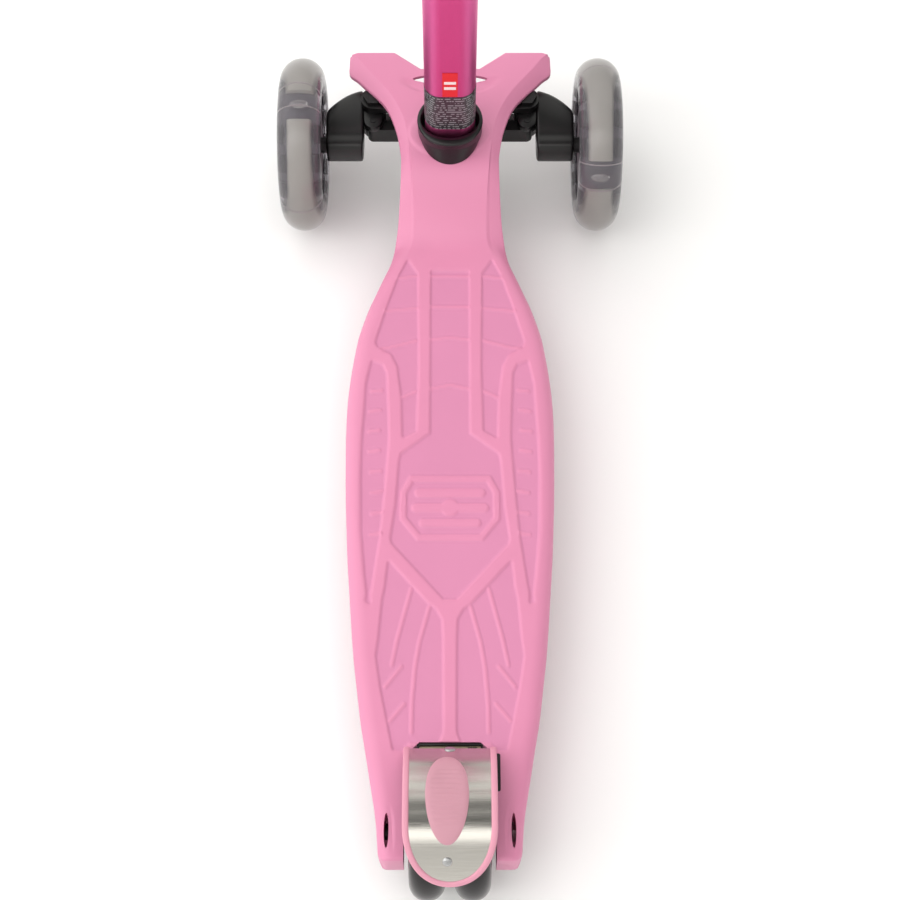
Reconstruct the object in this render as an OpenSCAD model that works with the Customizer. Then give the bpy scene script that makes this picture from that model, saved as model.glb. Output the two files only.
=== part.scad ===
// Three-wheel lean-to-steer kick scooter for a small child.
// Millimetres. +X is the rider's right, +Y is forward, +Z is up.
// The origin is on the floor, midway between the front and rear extremes.

/* [Wheels] */
// Front wheel outside diameter
front_wheel_d = 120; // [110:1:130]
// Width of a front tyre
front_tyre_w = 30; // [24:1:32]
// Diameter of a front wheel core, where the tyre is moulded on
front_core_d = 86; // [70:1:92]
// Distance from the middle to a front wheel's centre plane
front_track_half = 103; // [100:1:130]
// Rear wheel outside diameter
rear_wheel_d = 80; // [70:1:84]
// Width of one rear tyre
rear_tyre_w = 22; // [18:1:24]
// Diameter of a rear wheel core
rear_core_d = 56; // [40:1:62]
// Gap between the twin rear tyres
rear_wheel_gap = 5.4; // [3:0.2:10]
// Distance between the front and rear axles
wheelbase = 484; // [400:1:590]
// Outside diameter of a wheel bearing
bearing_d = 22; // [20:0.5:24]
// Width of a wheel bearing
bearing_w = 7; // [5:0.5:8]
// Diameter of the wheel axles
axle_d = 8; // [6:0.5:10]

/* [Deck] */
// Greatest width of the footplate
deck_w = 136.6; // [115:0.2:165]
// Width of the neck at its narrowest
neck_w = 67; // [66:0.5:80]
// Width across the two front wings
wing_w = 141; // [120:0.5:150]
// Width across the rear tines
tail_w = 87; // [84:0.5:100]
// Height of the footplate's top above the floor
foot_z = 61; // [58:0.5:72]
// Height of the flat top round the steering head
head_z = 90; // [88:0.5:95]
// Thickness of the deck's top skin
deck_skin = 4; // [3:0.25:5]
// Depth of the footplate from its top to its lowest rib
deck_depth = 26; // [24:0.5:30]
// Depth of the wings' rim below the flat top
wing_depth = 7; // [6:0.5:10]
// Thickness of the stiffening ribs and side walls
rib_w = 3; // [2:0.25:4]
// Length of the carrying slot ahead of the stem
slot_l = 52; // [40:1:56]
// Greatest width of the carrying slot
slot_w = 7.5; // [6:0.5:8.5]

/* [Steering] */
// Half the distance between the two kingpins
kingpin_half = 54; // [50:0.5:60]
// How far the kingpins lie ahead of the front axle
kingpin_lead = 26; // [24:0.5:30]
// Diameter of a kingpin
kingpin_d = 8; // [6:0.5:9]
// Height of the lean axis above the floor
lean_z = 79; // [77:0.5:79]
// Diameter of the lean shaft
lean_shaft_d = 8; // [6:0.5:9]
// Length of a steering arm, kingpin to track rod pin
steer_arm = 13.6; // [12:0.2:15]

/* [Stem] */
// Backward slope of the stem, in degrees
stem_slope = 5; // [0:0.5:8]
// Width of the oval lower tube, side to side
tube_w = 34; // [32:0.5:36]
// Depth of the oval lower tube, front to back
tube_d = 21.4; // [20:0.2:24]
// Wall of both stem tubes
tube_wall = 1.6; // [1.2:0.1:2.5]
// Length of the lower tube
lower_tube_l = 345; // [300:1:400]
// Height of the handlebar above the floor at its lowest setting
bar_z = 668; // [640:1:760]
// How far the handlebar can be raised
bar_travel = 200; // [100:5:200]
// Width across the handlebar's grips
bar_w = 290; // [270:1:340]
// Diameter of the handlebar tube
bar_d = 22.2; // [20:0.2:25.4]
// Length of one grip
grip_l = 104; // [90:1:112]
// Diameter of a grip
grip_d = 31; // [28:0.5:34]

/* [Brake] */
// Outside radius of the curved brake plate
brake_r = 49.5; // [48:0.25:55]
// Width of the steel brake plate
brake_w = 48; // [44:0.5:56]
// Thickness of the steel brake plate
brake_t = 2; // [1.5:0.25:2.5]
// Width of the rubber border round the brake plate
brake_rim = 4; // [2:0.25:5]

/* [Clearances] */
// Radial clearance of a shaft that turns in its bore
run_gap = 0.05; // [0.02:0.01:0.1]
// Gap between pieces that move past each other
move_gap = 0.6; // [0.4:0.1:1]
// Gap round the upper tube inside the lower tube
slide_gap = 0.45; // [0.35:0.05:0.8]

/* [Hidden] */
$fn = 64;
eps = 0.01;
pass = 1;

front_r = front_wheel_d / 2;
rear_r = rear_wheel_d / 2;
front_axle_y = (wheelbase + rear_r - front_r) / 2;
rear_axle_y = front_axle_y - wheelbase;
axle_r = axle_d / 2;
bearing_r = bearing_d / 2;

kingpin_y = front_axle_y + kingpin_lead;
rod_y = kingpin_y - steer_arm;
kingpin_r = kingpin_d / 2;
boss_r = kingpin_r + 4.6;

// Heights of the stacked pieces round a kingpin
beam_low = lean_z - 36;
beam_plate = 6;
beam_high = beam_low + 30.4;
rod_low = beam_low + beam_plate + 3;
rod_high = rod_low + 14.4;
rod_half_d = 4.2;
lever_z = (rod_low + rod_high) / 2 - 1.5;

foot_bottom = foot_z - deck_depth;
deck_half = deck_w / 2;
neck_half = neck_w / 2;
wing_half = wing_w / 2;
tail_half = tail_w / 2;
tail_y = rear_axle_y - 15;
neck_y = front_axle_y - 29;
ramp_start = neck_y - 66;
ramp_end = neck_y + 6;
foot_end = ramp_start + 8;
wing_rim = front_axle_y + 58;
slot_y = front_axle_y + 35;

// The rear wheel bay
bay_half = rear_tyre_w + rear_wheel_gap / 2 + 3;
bay_front = rear_axle_y + rear_r + 11;
bay_chamfer = 6;
tine_end = rear_axle_y - 23.5;

// The stem, measured along its own sloping axis from the lean axis
stem_y = front_axle_y - 9.7;
collar_z = head_z - lean_z + 8;
collar_h = 10.5;
tube_foot = collar_z + 1;
tube_top = tube_foot + lower_tube_l;
bar_up = (bar_z - lean_z) / cos(stem_slope);
inner_w = tube_w - 2 * (tube_wall + slide_gap);
inner_d = tube_d - 2 * (tube_wall + slide_gap);
plug_l = 36;
upper_foot = max(tube_foot + plug_l + 6, tube_top - bar_travel - 66);
clamp_h = 34;
clamp_wall = 4.5;
clamp_mid = tube_top - clamp_h / 2 + 3;
clamp_ear_x = 15;
clamp_pin_r = 3;
bar_y = stem_y - (bar_z - lean_z) * tan(stem_slope);

// The brake arc is centred a little ahead of the rear axle
brake_y = rear_axle_y + 4.5;
brake_z = rear_r - 2;
brake_inner = brake_r - brake_t;
brake_tail = rear_axle_y - rear_r + 1.5;
brake_head = bay_front - 5.5;
hinge_y = bay_front - 6;
hinge_z = foot_z - 5.5;
hinge_r = 4;
hinge_pin_r = 2;
rivet_r = 2;
nut_pocket = 6;
nut_pocket_r = 8.4;

// ---- Curves -------------------------------------------------------------

function smooth(t) = let (c = min(1, max(0, t))) c * c * (3 - 2 * c);

// Point at fraction u of the Catmull-Rom stretch from p[i] to p[i + 1]
function curve_point(p, i, u) =
    let (n = len(p) - 1, a = p[max(i - 1, 0)], b = p[i], c = p[i + 1], d = p[min(i + 2, n)])
    0.5 * (2 * b + (c - a) * u + (2 * a - 5 * b + 4 * c - d) * u * u
           + (3 * b - a - 3 * c + d) * u * u * u);

function curve(p, steps) =
    [for (i = [0 : len(p) - 2], k = [0 : steps - 1]) curve_point(p, i, k / steps), p[len(p) - 1]];

function flipped(p) = [for (i = [len(p) - 1 : -1 : 0]) [-p[i].x, p[i].y]];

// Right-hand stations of the deck's outline. The first number is the place along the footplate
// (0 at the tail, 1 at the neck) and the second the share of the width gained over the end.
rear_stations = [[0, 0], [0.126, 0.336], [0.3, 0.74], [0.485, 0.972], [0.632, 0.968]];
front_stations = [[0.736, 0.816], [0.809, 0.499], [0.857, 0.227], [0.909, 0.085], [0.972, 0.023]];
// The same for the wings: distance ahead of the neck, and share of the wing's flare
wing_stations = [[9, 0.035], [27, 0.141], [46, 0.347], [55, 0.52], [64.5, 0.76], [73, 0.995]];

function deck_y(t) = tail_y + t * (neck_y - tail_y);

deck_side = curve(concat(
    [for (s = rear_stations) [tail_half + s[1] * (deck_half - tail_half), deck_y(s[0])]],
    [for (s = front_stations) [neck_half + s[1] * (deck_half - neck_half), deck_y(s[0])]],
    [for (s = wing_stations) [neck_half + s[1] * (wing_half - neck_half), neck_y + s[0]]]), 3);

deck_outline = concat(
    [[bay_half, tine_end], [tail_half - 4, tine_end], [tail_half - 1, tine_end + 3]],
    deck_side,
    [[wing_half, wing_rim - 5], [wing_half - 4, wing_rim], [39, wing_rim], [20.7, wing_rim - 14],
     [-20.7, wing_rim - 14], [-39, wing_rim], [-wing_half + 4, wing_rim], [-wing_half, wing_rim - 5]],
    flipped(deck_side),
    [[-tail_half + 1, tine_end + 3], [-tail_half + 4, tine_end], [-bay_half, tine_end],
     [-bay_half, bay_front - bay_chamfer], [-bay_half + bay_chamfer, bay_front],
     [bay_half - bay_chamfer, bay_front], [bay_half, bay_front - bay_chamfer]]);

function deck_top(y) = foot_z + (head_z - foot_z) * smooth((y - ramp_start) / (ramp_end - ramp_start));
function deck_low(y) =
    foot_bottom + (head_z - wing_depth - foot_bottom) * smooth((y - foot_end) / (neck_y + 42 - foot_end));

ramp_steps = 14;
ramp_y = [for (k = [0 : ramp_steps]) ramp_start + k * (neck_y + 42 - ramp_start) / ramp_steps];

// ---- Shared shapes ------------------------------------------------------

module bar_x(r, x0, x1, y, z) {
    translate([x0, y, z]) rotate([0, 90, 0]) cylinder(r = r, h = x1 - x0);
}

module bar_y(r, y0, y1, x, z) {
    translate([x, y1, z]) rotate([90, 0, 0]) cylinder(r = r, h = y1 - y0);
}

module block(low, high) {
    translate(low) cube(high - low);
}

module both_sides() {
    children();
    mirror([1, 0, 0]) children();
}

module hex(across, h) {
    cylinder(r = across / 2 / cos(30), h = h, $fn = 6);
}

// Flat-sided oval, w across X and d across Y
module oval(w, d) {
    square([w - d, d], center = true);
    for (side = [-1, 1]) translate([side * (w - d) / 2, 0]) circle(d = d);
}

module on_stem() {
    translate([0, stem_y, lean_z]) rotate([stem_slope, 0, 0]) children();
}

// Stands a flat Y-Z profile up, so that it runs from x0 to x1
module along_x(x0, x1) {
    translate([x0, 0, 0]) rotate([90, 0, 90]) linear_extrude(x1 - x0) children();
}

// ---- Deck ---------------------------------------------------------------

module deck_profile(drop, lift) {
    polygon(concat(
        [[tine_end - pass, foot_z - drop]],
        [for (y = ramp_y) [y, deck_top(y) - drop]],
        [[wing_rim + pass, head_z - drop], [wing_rim + pass, head_z - wing_depth + lift]],
        [for (i = [ramp_steps : -1 : 0]) if (ramp_y[i] > foot_end) [ramp_y[i], deck_low(ramp_y[i]) + lift]],
        [[foot_end, foot_bottom + lift], [tine_end - pass, foot_bottom + lift]]));
}

module deck_inside() {
    offset(delta = -rib_w) polygon(deck_outline);
}

rib_pitch = 88;
rib_x = 24;
rib_start = bay_front + 8;
neck_rib_y = neck_y - 15;
module deck_ribs() {
    for (y = [rib_start : rib_pitch : foot_end - 8])
        block([-deck_half, y, foot_bottom], [deck_half, y + rib_w, foot_z]);
    for (x = [-rib_x, rib_x])
        block([x - rib_w / 2, rib_start, foot_bottom], [x + rib_w / 2, neck_rib_y + rib_w, head_z]);
    block([-deck_half, neck_rib_y, foot_bottom], [deck_half, neck_rib_y + rib_w, head_z]);
    both_sides() block([bay_half, tine_end, foot_bottom], [deck_half, rib_start + rib_w, foot_z]);
    block([-bay_half, bay_front, foot_bottom], [bay_half, rib_start + rib_w, foot_z]);
}

module stem_opening() {
    translate([0, stem_y - 0.6, lean_z - pass]) linear_extrude(head_z - lean_z + 2 * pass)
        oval(tube_w + 2 * 4.2, tube_d + 2 * 3);
}

module deck_board() {
    color("hotpink") difference() {
        union() {
            difference() {
                intersection() {
                    translate([0, 0, foot_bottom - pass]) linear_extrude(head_z) polygon(deck_outline);
                    along_x(-wing_half - pass, wing_half + pass) deck_profile(0, 0);
                }
                intersection() {
                    translate([0, 0, foot_bottom - 2 * pass]) linear_extrude(head_z) deck_inside();
                    along_x(-wing_half, wing_half) deck_profile(deck_skin, -pass);
                }
            }
            intersection() {
                translate([0, 0, foot_bottom - pass]) linear_extrude(head_z) polygon(deck_outline);
                along_x(-wing_half - pass, wing_half + pass) deck_profile(0, 0);
                deck_ribs();
            }
            both_sides() hinge_lug();
        }
        stem_opening();
        block([-beam_cheek - move_gap, neck_y - 9, 0],
              [beam_cheek + move_gap, neck_y + 37, head_z - deck_skin]);
        carry_slot();
        bar_x(axle_r, -deck_half, deck_half, rear_axle_y, rear_r);
        both_sides() bar_x(nut_pocket_r, tail_half - nut_pocket, deck_half, rear_axle_y, rear_r);
        bar_x(hinge_pin_r, -bay_half - 5, bay_half + 5, hinge_y, hinge_z);
        both_sides() tine_slot();
        for (p = bolt_places) translate([p.x, p.y, 0]) cylinder(r = 2, h = head_z - deck_skin / 2);
    }
}

module hinge_lug() {
    block([bay_half - bay_chamfer - 1, hinge_y - hinge_r, hinge_z - hinge_r],
          [bay_half, bay_front, hinge_z + hinge_pin_r + 0.2]);
}

// Pointed oval cut by two arcs
module carry_slot() {
    slot_r = (slot_l * slot_l / 4 + slot_w * slot_w / 4) / slot_w;
    translate([0, slot_y, head_z - 15]) linear_extrude(20) intersection() {
        translate([0, slot_r - slot_w / 2]) circle(r = slot_r, $fn = 360);
        translate([0, slot_w / 2 - slot_r]) circle(r = slot_r, $fn = 360);
    }
}

module tine_slot() {
    x = tail_half - 5.5;
    block([x - 1.2, rear_axle_y - 12.5, foot_z - 8], [x + 1.2, rear_axle_y + 6.5, foot_z + pass]);
}

// ---- Front axle beam and steering ---------------------------------------

beam_cheek = 29.5;
cheek_w = 3;
bolt_places = [[-22, neck_y - 4], [22, neck_y - 4], [-26, kingpin_y + 7], [26, kingpin_y + 7]];

module beam_plate_shape(z) {
    translate([0, 0, z]) linear_extrude(beam_plate) {
        for (side = [-1, 1]) translate([side * kingpin_half, kingpin_y]) circle(r = boss_r);
        translate([-kingpin_half, kingpin_y - boss_r]) square([2 * kingpin_half, 2 * boss_r]);
    }
}

module axle_beam() {
    rear_wall = neck_y - 8;
    front_wall = kingpin_y + boss_r - 5;
    color("#1b1a1a") difference() {
        union() {
            beam_plate_shape(beam_low);
            beam_plate_shape(beam_high);
            block([-38, front_wall, beam_low], [38, front_wall + 5, beam_high + beam_plate]);
            block([-beam_cheek, rear_wall, beam_low], [beam_cheek, kingpin_y, beam_low + 4]);
            both_sides() block([beam_cheek - cheek_w, rear_wall, beam_low],
                               [beam_cheek, rod_y - rod_half_d - 4, head_z - deck_skin - move_gap]);
            block([-beam_cheek, rear_wall, beam_low],
                  [beam_cheek, rear_wall + 7, head_z - deck_skin - move_gap]);
            block([-10, kingpin_y - 6, beam_high], [10, kingpin_y + 3, head_z - deck_skin - move_gap]);
            for (p = bolt_places) translate([p.x, p.y, beam_low])
                cylinder(r = 3.6, h = head_z - deck_skin - move_gap - beam_low);
        }
        for (side = [-1, 1]) translate([side * kingpin_half, kingpin_y, 0])
            cylinder(r = kingpin_r, h = head_z);
        bar_y(lean_bearing_r, rear_wall - pass, front_wall + 6, 0, lean_z);
        for (p = bolt_places) translate([p.x, p.y, beam_low - pass]) cylinder(r = 2.05, h = head_z);
    }
}

lean_bearing_r = lean_shaft_d / 2 + 1.5;
module lean_bearings() {
    rear_wall = neck_y - 8;
    color("#c9a24a") for (y = [rear_wall, kingpin_y - 5])
        difference() {
            bar_y(lean_bearing_r, y, y + 7, 0, lean_z);
            bar_y(lean_shaft_d / 2 + run_gap, y - pass, y + 7 + pass, 0, lean_z);
        }
}

module beam_bolts() {
    color("silver") for (p = bolt_places) translate([p.x, p.y, beam_low - 3]) {
        cylinder(r = 3.6, h = 3);
        cylinder(r = 2, h = head_z - deck_skin / 2 - beam_low + 3 - 1);
    }
}

kingpin_nut_h = 3;
module kingpin_bolts() {
    color("silver") for (side = [-1, 1]) translate([side * kingpin_half, kingpin_y, beam_low]) {
        translate([0, 0, -4]) cylinder(r = kingpin_r + 2.6, h = 4);
        cylinder(r = kingpin_r, h = beam_high + beam_plate - beam_low + kingpin_nut_h);
    }
}

module kingpin_nuts() {
    color("dimgray") for (side = [-1, 1])
        translate([side * kingpin_half, kingpin_y, beam_high + beam_plate]) difference() {
            hex(kingpin_d + 4, kingpin_nut_h);
            translate([0, 0, -pass]) cylinder(r = kingpin_r, h = kingpin_nut_h + 2 * pass);
        }
}

bumper_x = 18;
bumper_top = lean_z - 16;
module lean_bumper(side) {
    h = bumper_top - beam_low - 4;
    color("#e8d44a") translate([side * bumper_x, stem_y - 1, beam_low + 4]) rotate_extrude()
        polygon([[2, 0], [6, 0], [6, h * 0.2], [4.8, h * 0.35], [6, h * 0.5], [4.8, h * 0.65],
                 [6, h * 0.8], [6, h], [2, h]]);
}

module track_rod() {
    color("#232222") difference() {
        translate([0, rod_y, rod_low]) linear_extrude(rod_high - rod_low) {
            square([2 * kingpin_half, 2 * rod_half_d], center = true);
            for (side = [-1, 1]) translate([side * kingpin_half, 0]) circle(r = rod_half_d);
            circle(r = 9);
        }
        for (side = [-1, 1]) translate([side * kingpin_half, rod_y, rod_low + 4])
            cylinder(r = rod_pin_r + 0.8, h = rod_high);
        block([-4.9, rod_y - 4, rod_low - pass], [4.9, rod_y + 4, rod_high + pass]);
    }
}

rod_pin_r = 2.4;
arm_low = rod_high + move_gap;
arm_top = beam_high - move_gap / 2;
housing_r = 10.6;
housing_in = kingpin_half + 6.8;
wheel_in = front_track_half - front_tyre_w / 2;

module knuckle(side) {
    barrel_r = boss_r - 0.4;
    color("#1c1b1c") mirror([side < 0 ? 1 : 0, 0, 0]) difference() {
        union() {
            translate([kingpin_half, kingpin_y, beam_low + beam_plate + move_gap / 2])
                cylinder(r = barrel_r, h = arm_top - beam_low - beam_plate - move_gap / 2);
            translate([kingpin_half, 0, arm_low]) linear_extrude(arm_top - arm_low) {
                translate([-barrel_r, rod_y]) square([2 * barrel_r, steer_arm]);
                translate([0, rod_y]) circle(r = barrel_r - 2);
            }
            bar_x(housing_r, housing_in, wheel_in - 3, front_axle_y, front_r);
            along_x(kingpin_half + 6, wheel_in - 5) polygon([
                [front_axle_y - 4, front_r + 9], [front_axle_y + 12, arm_top - 1.5],
                [kingpin_y + 1, arm_top], [kingpin_y + barrel_r - 1, arm_top - 4],
                [kingpin_y + barrel_r - 1, front_r + 3], [kingpin_y - 8, front_r - 3],
                [front_axle_y + 6, front_r - 8]]);
        }
        translate([kingpin_half, kingpin_y, 0]) cylinder(r = kingpin_r + run_gap, h = head_z);
        bar_x(axle_r, housing_in - pass, wheel_in + pass, front_axle_y, front_r);
        bar_x(8, housing_in - pass, housing_in + 6, front_axle_y, front_r);
        translate([kingpin_half, rod_y, arm_low - pass]) cylinder(r = rod_pin_r, h = arm_top);
        translate([0, rod_y - rod_half_d - 2.2, rod_low - 6])
            cube([kingpin_half + 4.2 + 2.4, 2 * rod_half_d + 2.2, arm_low - rod_low + 6]);
    }
}

module knuckle_pin(side) {
    color("silver") translate([side * kingpin_half, rod_y, rod_low + 4.6])
        cylinder(r = rod_pin_r, h = arm_top - rod_low - 4.6);
}

// Bolt of a front wheel: head in the knuckle, end past the outer bearing
module axle_bolt(side) {
    color("silver") mirror([side < 0 ? 1 : 0, 0, 0]) {
        bar_x(axle_r, housing_in + 1, front_track_half + front_core_w / 2 + 2.8, front_axle_y, front_r);
        bar_x(6.4, housing_in + 1, housing_in + 6, front_axle_y, front_r);
        difference() {
            bar_x(axle_r + 1.5, wheel_in - 3, front_core_face_in - 0.2, front_axle_y, front_r);
            bar_x(axle_r, wheel_in - 4, front_core_face_in + pass, front_axle_y, front_r);
        }
    }
}

module axle_nut(side) {
    x = front_track_half + front_core_w / 2 + 0.3;
    color("dimgray") mirror([side < 0 ? 1 : 0, 0, 0]) translate([x, front_axle_y, front_r])
        rotate([0, 90, 0]) difference() {
            hex(13, 4);
            translate([0, 0, -pass]) cylinder(r = axle_r, h = 2.5 + pass);
        }
}

// ---- Wheels -------------------------------------------------------------

front_core_w = 21;
front_core_face_in = front_track_half - front_core_w / 2;
rear_core_w = 17;

// Profile of a tyre turned about the axle: w wide, from r_in to r_out
module tyre_profile(w, r_in, r_out) {
    crown = w * 0.5;
    intersection() {
        translate([r_in, -w / 2]) square([r_out - r_in, w]);
        union() {
            translate([0, -w / 2]) square([r_out - crown * 0.62, w]);
            translate([r_out - crown, 0]) circle(r = crown, $fn = 96);
            translate([r_in, -w * 0.4]) square([r_out - crown * 0.45 - r_in, w * 0.8]);
        }
    }
}

// Moulded core: rim and hub joined by a web, with a seat for a bearing on each side
module core_profile(w, r_out) {
    hub_r = bearing_r + 3;
    translate([r_out - 5, -w / 2]) square([5, w]);
    translate([bearing_r, -w / 2]) square([hub_r - bearing_r, w]);
    translate([bearing_r - 2.5, -(w / 2 - bearing_w)]) square([5, w - 2 * bearing_w]);
    translate([hub_r - 1, -2]) square([r_out - hub_r - 3, 4]);
}

module turned(x, y, z) {
    translate([x, y, z]) rotate([0, 90, 0]) rotate_extrude($fn = 128) children();
}

module core(x, y, r, w, r_out, windows) {
    hub_r = bearing_r + 3;
    mid_r = (r_out - 5 + hub_r) / 2;
    difference() {
        turned(x, y, r) core_profile(w, r_out);
        for (k = [0 : windows - 1]) translate([x, y, r]) rotate([k * 360 / windows, 0, 0])
            translate([-3, 0, mid_r]) rotate([0, 90, 0]) cylinder(r = (r_out - 5 - hub_r) / 2 - 2.5, h = 6);
    }
}

module front_core(side) {
    color("#8d8a8e")
        core(side * front_track_half, front_axle_y, front_r, front_core_w, front_core_d / 2, 6);
}

module front_tyre(side) {
    color("#8f8a90") turned(side * front_track_half, front_axle_y, front_r)
        tyre_profile(front_tyre_w, front_core_d / 2, front_r);
}

module bearing_pair(x, y, z, w) {
    for (end = [-1, 1]) {
        outer = x + end * (w / 2 - bearing_w / 2);
        difference() {
            bar_x(bearing_r, outer - bearing_w / 2, outer + bearing_w / 2, y, z);
            bar_x(axle_r + run_gap, outer - bearing_w, outer + bearing_w, y, z);
        }
    }
}

module front_bearings(side) {
    color("silver") bearing_pair(side * front_track_half, front_axle_y, front_r, front_core_w);
}

rear_x = (rear_tyre_w + rear_wheel_gap) / 2;

module rear_core(side) {
    color("#4a474a") core(side * rear_x, rear_axle_y, rear_r, rear_core_w, rear_core_d / 2, 0);
}

module rear_tyre(side) {
    color("#474247") turned(side * rear_x, rear_axle_y, rear_r)
        tyre_profile(rear_tyre_w, rear_core_d / 2, rear_r);
}

module rear_bearings(side) {
    color("silver") bearing_pair(side * rear_x, rear_axle_y, rear_r, rear_core_w);
}

module rear_axle() {
    color("silver") {
        bar_x(axle_r, -tail_half + nut_pocket, tail_half - 2, rear_axle_y, rear_r);
        bar_x(6.4, -tail_half + 1, -tail_half + nut_pocket, rear_axle_y, rear_r);
    }
}

module rear_axle_nut() {
    color("dimgray") translate([tail_half - nut_pocket, rear_axle_y, rear_r]) rotate([0, 90, 0])
        difference() {
            hex(13, nut_pocket - 1);
            translate([0, 0, -pass]) cylinder(r = axle_r, h = nut_pocket - 2 + pass);
        }
}

module rear_spacers() {
    inner = rear_x - rear_core_w / 2;
    outer = rear_x + rear_core_w / 2;
    spans = [[-bay_half, -outer - 0.2], [-inner + 0.2, inner - 0.2], [outer + 0.2, bay_half]];
    color("silver") for (span = spans)
        difference() {
            bar_x(axle_r + 1.8, span[0], span[1], rear_axle_y, rear_r);
            bar_x(axle_r, span[0] - pass, span[1] + pass, rear_axle_y, rear_r);
        }
}

// ---- Brake --------------------------------------------------------------

module brake_arc(r_out, r_in) {
    translate([brake_y, brake_z]) difference() {
        circle(r = r_out, $fn = 180);
        circle(r = r_in, $fn = 180);
        translate([-r_out - pass, -r_out - pass]) square([2 * r_out + 2 * pass, r_out + pass + 14]);
    }
}

// Plan of the plate: straight at the front, round at the tail
module brake_plan(half) {
    round_y = brake_tail + 26;
    translate([-half, round_y]) square([2 * half, brake_head - round_y]);
    intersection() {
        translate([0, round_y]) round_tail(half, 26 - (brake_w / 2 + brake_rim - half));
        translate([-half, round_y - 40]) square([2 * half, 40 + eps]);
    }
}

// Quarter-round corners either side of a flat tail
module round_tail(half, depth) {
    r = min(depth, half - 4);
    for (side = [-1, 1]) translate([side * (half - r), -(depth - r)]) circle(r = r);
    translate([-(half - r), -depth]) square([2 * (half - r), depth]);
    translate([-half, -(depth - r)]) square([2 * half, depth - r + eps]);
}

module brake_sheet(half, r_out, r_in) {
    intersection() {
        translate([0, 0, 20]) linear_extrude(90) brake_plan(half);
        along_x(-half - pass, half + pass) brake_arc(r_out, r_in);
    }
}

module brake_plate() {
    color("#b9bbbe") difference() {
        brake_sheet(brake_w / 2, brake_r, brake_inner);
        for (a = rivet_angles) on_brake(a) cylinder(r = rivet_r, h = brake_r + 5);
    }
}

module brake_rim_trim() {
    color("#e79abb") difference() {
        brake_sheet(brake_w / 2 + brake_rim, brake_r + 0.6, brake_inner);
        translate([0, 0, 20]) linear_extrude(90) brake_plan(brake_w / 2);
        translate([-100, brake_head - 10, 0]) cube([200, 20, 110]);
    }
}

pad_front = brake_y + 30;
pad_rear = brake_y - 22;
pad_half = 15;
module brake_pad() {
    mid = (pad_front + pad_rear) / 2 + 6;
    color("#d8a5b2") intersection() {
        translate([0, 0, 20]) linear_extrude(90) hull() {
            translate([0, mid]) circle(r = pad_half);
            translate([0, pad_front - 8]) circle(r = 8);
            translate([0, pad_rear + 7]) circle(r = 7);
        }
        along_x(-pad_half - pass, pad_half + pass) brake_arc(brake_r + 2.4, brake_r);
    }
}

// Rivets stand square to the plate, at these angles back from upright
rivet_angles = [asin((brake_y - brake_head + 4) / brake_r), asin((brake_y - brake_tail - 11) / brake_r)];

module on_brake(angle) {
    translate([0, brake_y, brake_z]) rotate([angle, 0, 0]) children();
}

module brake_rivets() {
    color("silver") for (a = rivet_angles) on_brake(a) {
        translate([0, 0, brake_inner - 1.5]) cylinder(r = rivet_r, h = brake_t + 1.5);
        translate([0, 0, brake_r]) intersection() {
            translate([0, 0, -3]) sphere(r = 4.6);
            cylinder(r = 4, h = 6);
        }
    }
}

// Folded tab under the front edge, rolled round the hinge pin
module brake_hinge() {
    tab = bay_half - bay_chamfer - 1 - 1 - 10;
    color("#9c9ea2") difference() {
        union() {
            bar_x(hinge_r, -tab, tab, hinge_y, hinge_z);
            block([-tab, hinge_y - 2.2, hinge_z], [tab, hinge_y + hinge_r, foot_z + 2]);
        }
        bar_x(hinge_pin_r + run_gap, -tab - pass, tab + pass, hinge_y, hinge_z);
        on_brake(rivet_angles[0]) cylinder(r = rivet_r, h = brake_r + 5);
        along_x(-bay_half, bay_half) translate([brake_y, brake_z]) difference() {
            circle(r = brake_r + 30, $fn = 180);
            circle(r = brake_inner, $fn = 180);
        }
    }
}

module brake_hinge_pin() {
    color("silver") bar_x(hinge_pin_r, -bay_half - 5, bay_half + 5, hinge_y, hinge_z);
}

spring_turns = 4;
spring_wire = 1.2;
function ring_point(a, k) =
    let (coil = hinge_pin_r + 1.6, b = k * 60, r = coil + spring_wire / 2 * cos(b))
    [a / 360 * (spring_wire + 0.3) + spring_wire / 2 * sin(b), r * cos(a), r * sin(a)];
module brake_spring() {
    rings = spring_turns * 12;
    points = [for (i = [0 : rings], k = [0 : 5]) ring_point(i * 30, k)];
    sides = [for (i = [0 : rings - 1], k = [0 : 5])
        let (j = (k + 1) % 6) [i * 6 + k, i * 6 + j, (i + 1) * 6 + j, (i + 1) * 6 + k]];
    caps = [[5, 4, 3, 2, 1, 0], [for (k = [0 : 5]) rings * 6 + k]];
    start = bay_half - bay_chamfer - 1 - 9.5;
    color("silver") translate([start, hinge_y, hinge_z]) polyhedron(points, concat(sides, caps));
}

// Thin strip screwed across the front of the wheel bay
module bay_bracket() {
    color("#cdbba2") block([-bay_half + bay_chamfer + 3, bay_front - 1.2, hinge_z - 14],
                           [bay_half - bay_chamfer - 3, bay_front, hinge_z - hinge_r - 1]);
}

// ---- Steering head and stem ---------------------------------------------

module steering_socket() {
    shoulder = collar_z - 3;
    color("#191818") difference() {
        union() {
            block([-13.5, stem_y - 13, lean_z - 12], [13.5, stem_y + 13, lean_z + 2]);
            block([-24, stem_y - 8, lean_z - 16], [24, stem_y + 6, lean_z - 12]);
            on_stem() linear_extrude(tube_foot) oval(tube_w - 1, tube_d - 1);
            on_stem() translate([0, 0, collar_z - 2]) linear_extrude(collar_h) oval(44, 40);
        }
        on_stem() translate([0, 0, tube_foot]) linear_extrude(collar_h + 20) oval(39, 30.5);
        bar_y(lean_shaft_d / 2, stem_y - 40, stem_y + 40, 0, lean_z);
    }
}

module collar_ring() {
    color("#2a2727") on_stem() translate([0, 0, collar_z - 2 + collar_h]) linear_extrude(2.4) difference() {
        oval(43.4, 39.4);
        oval(39, 30.5);
    }
}

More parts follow.
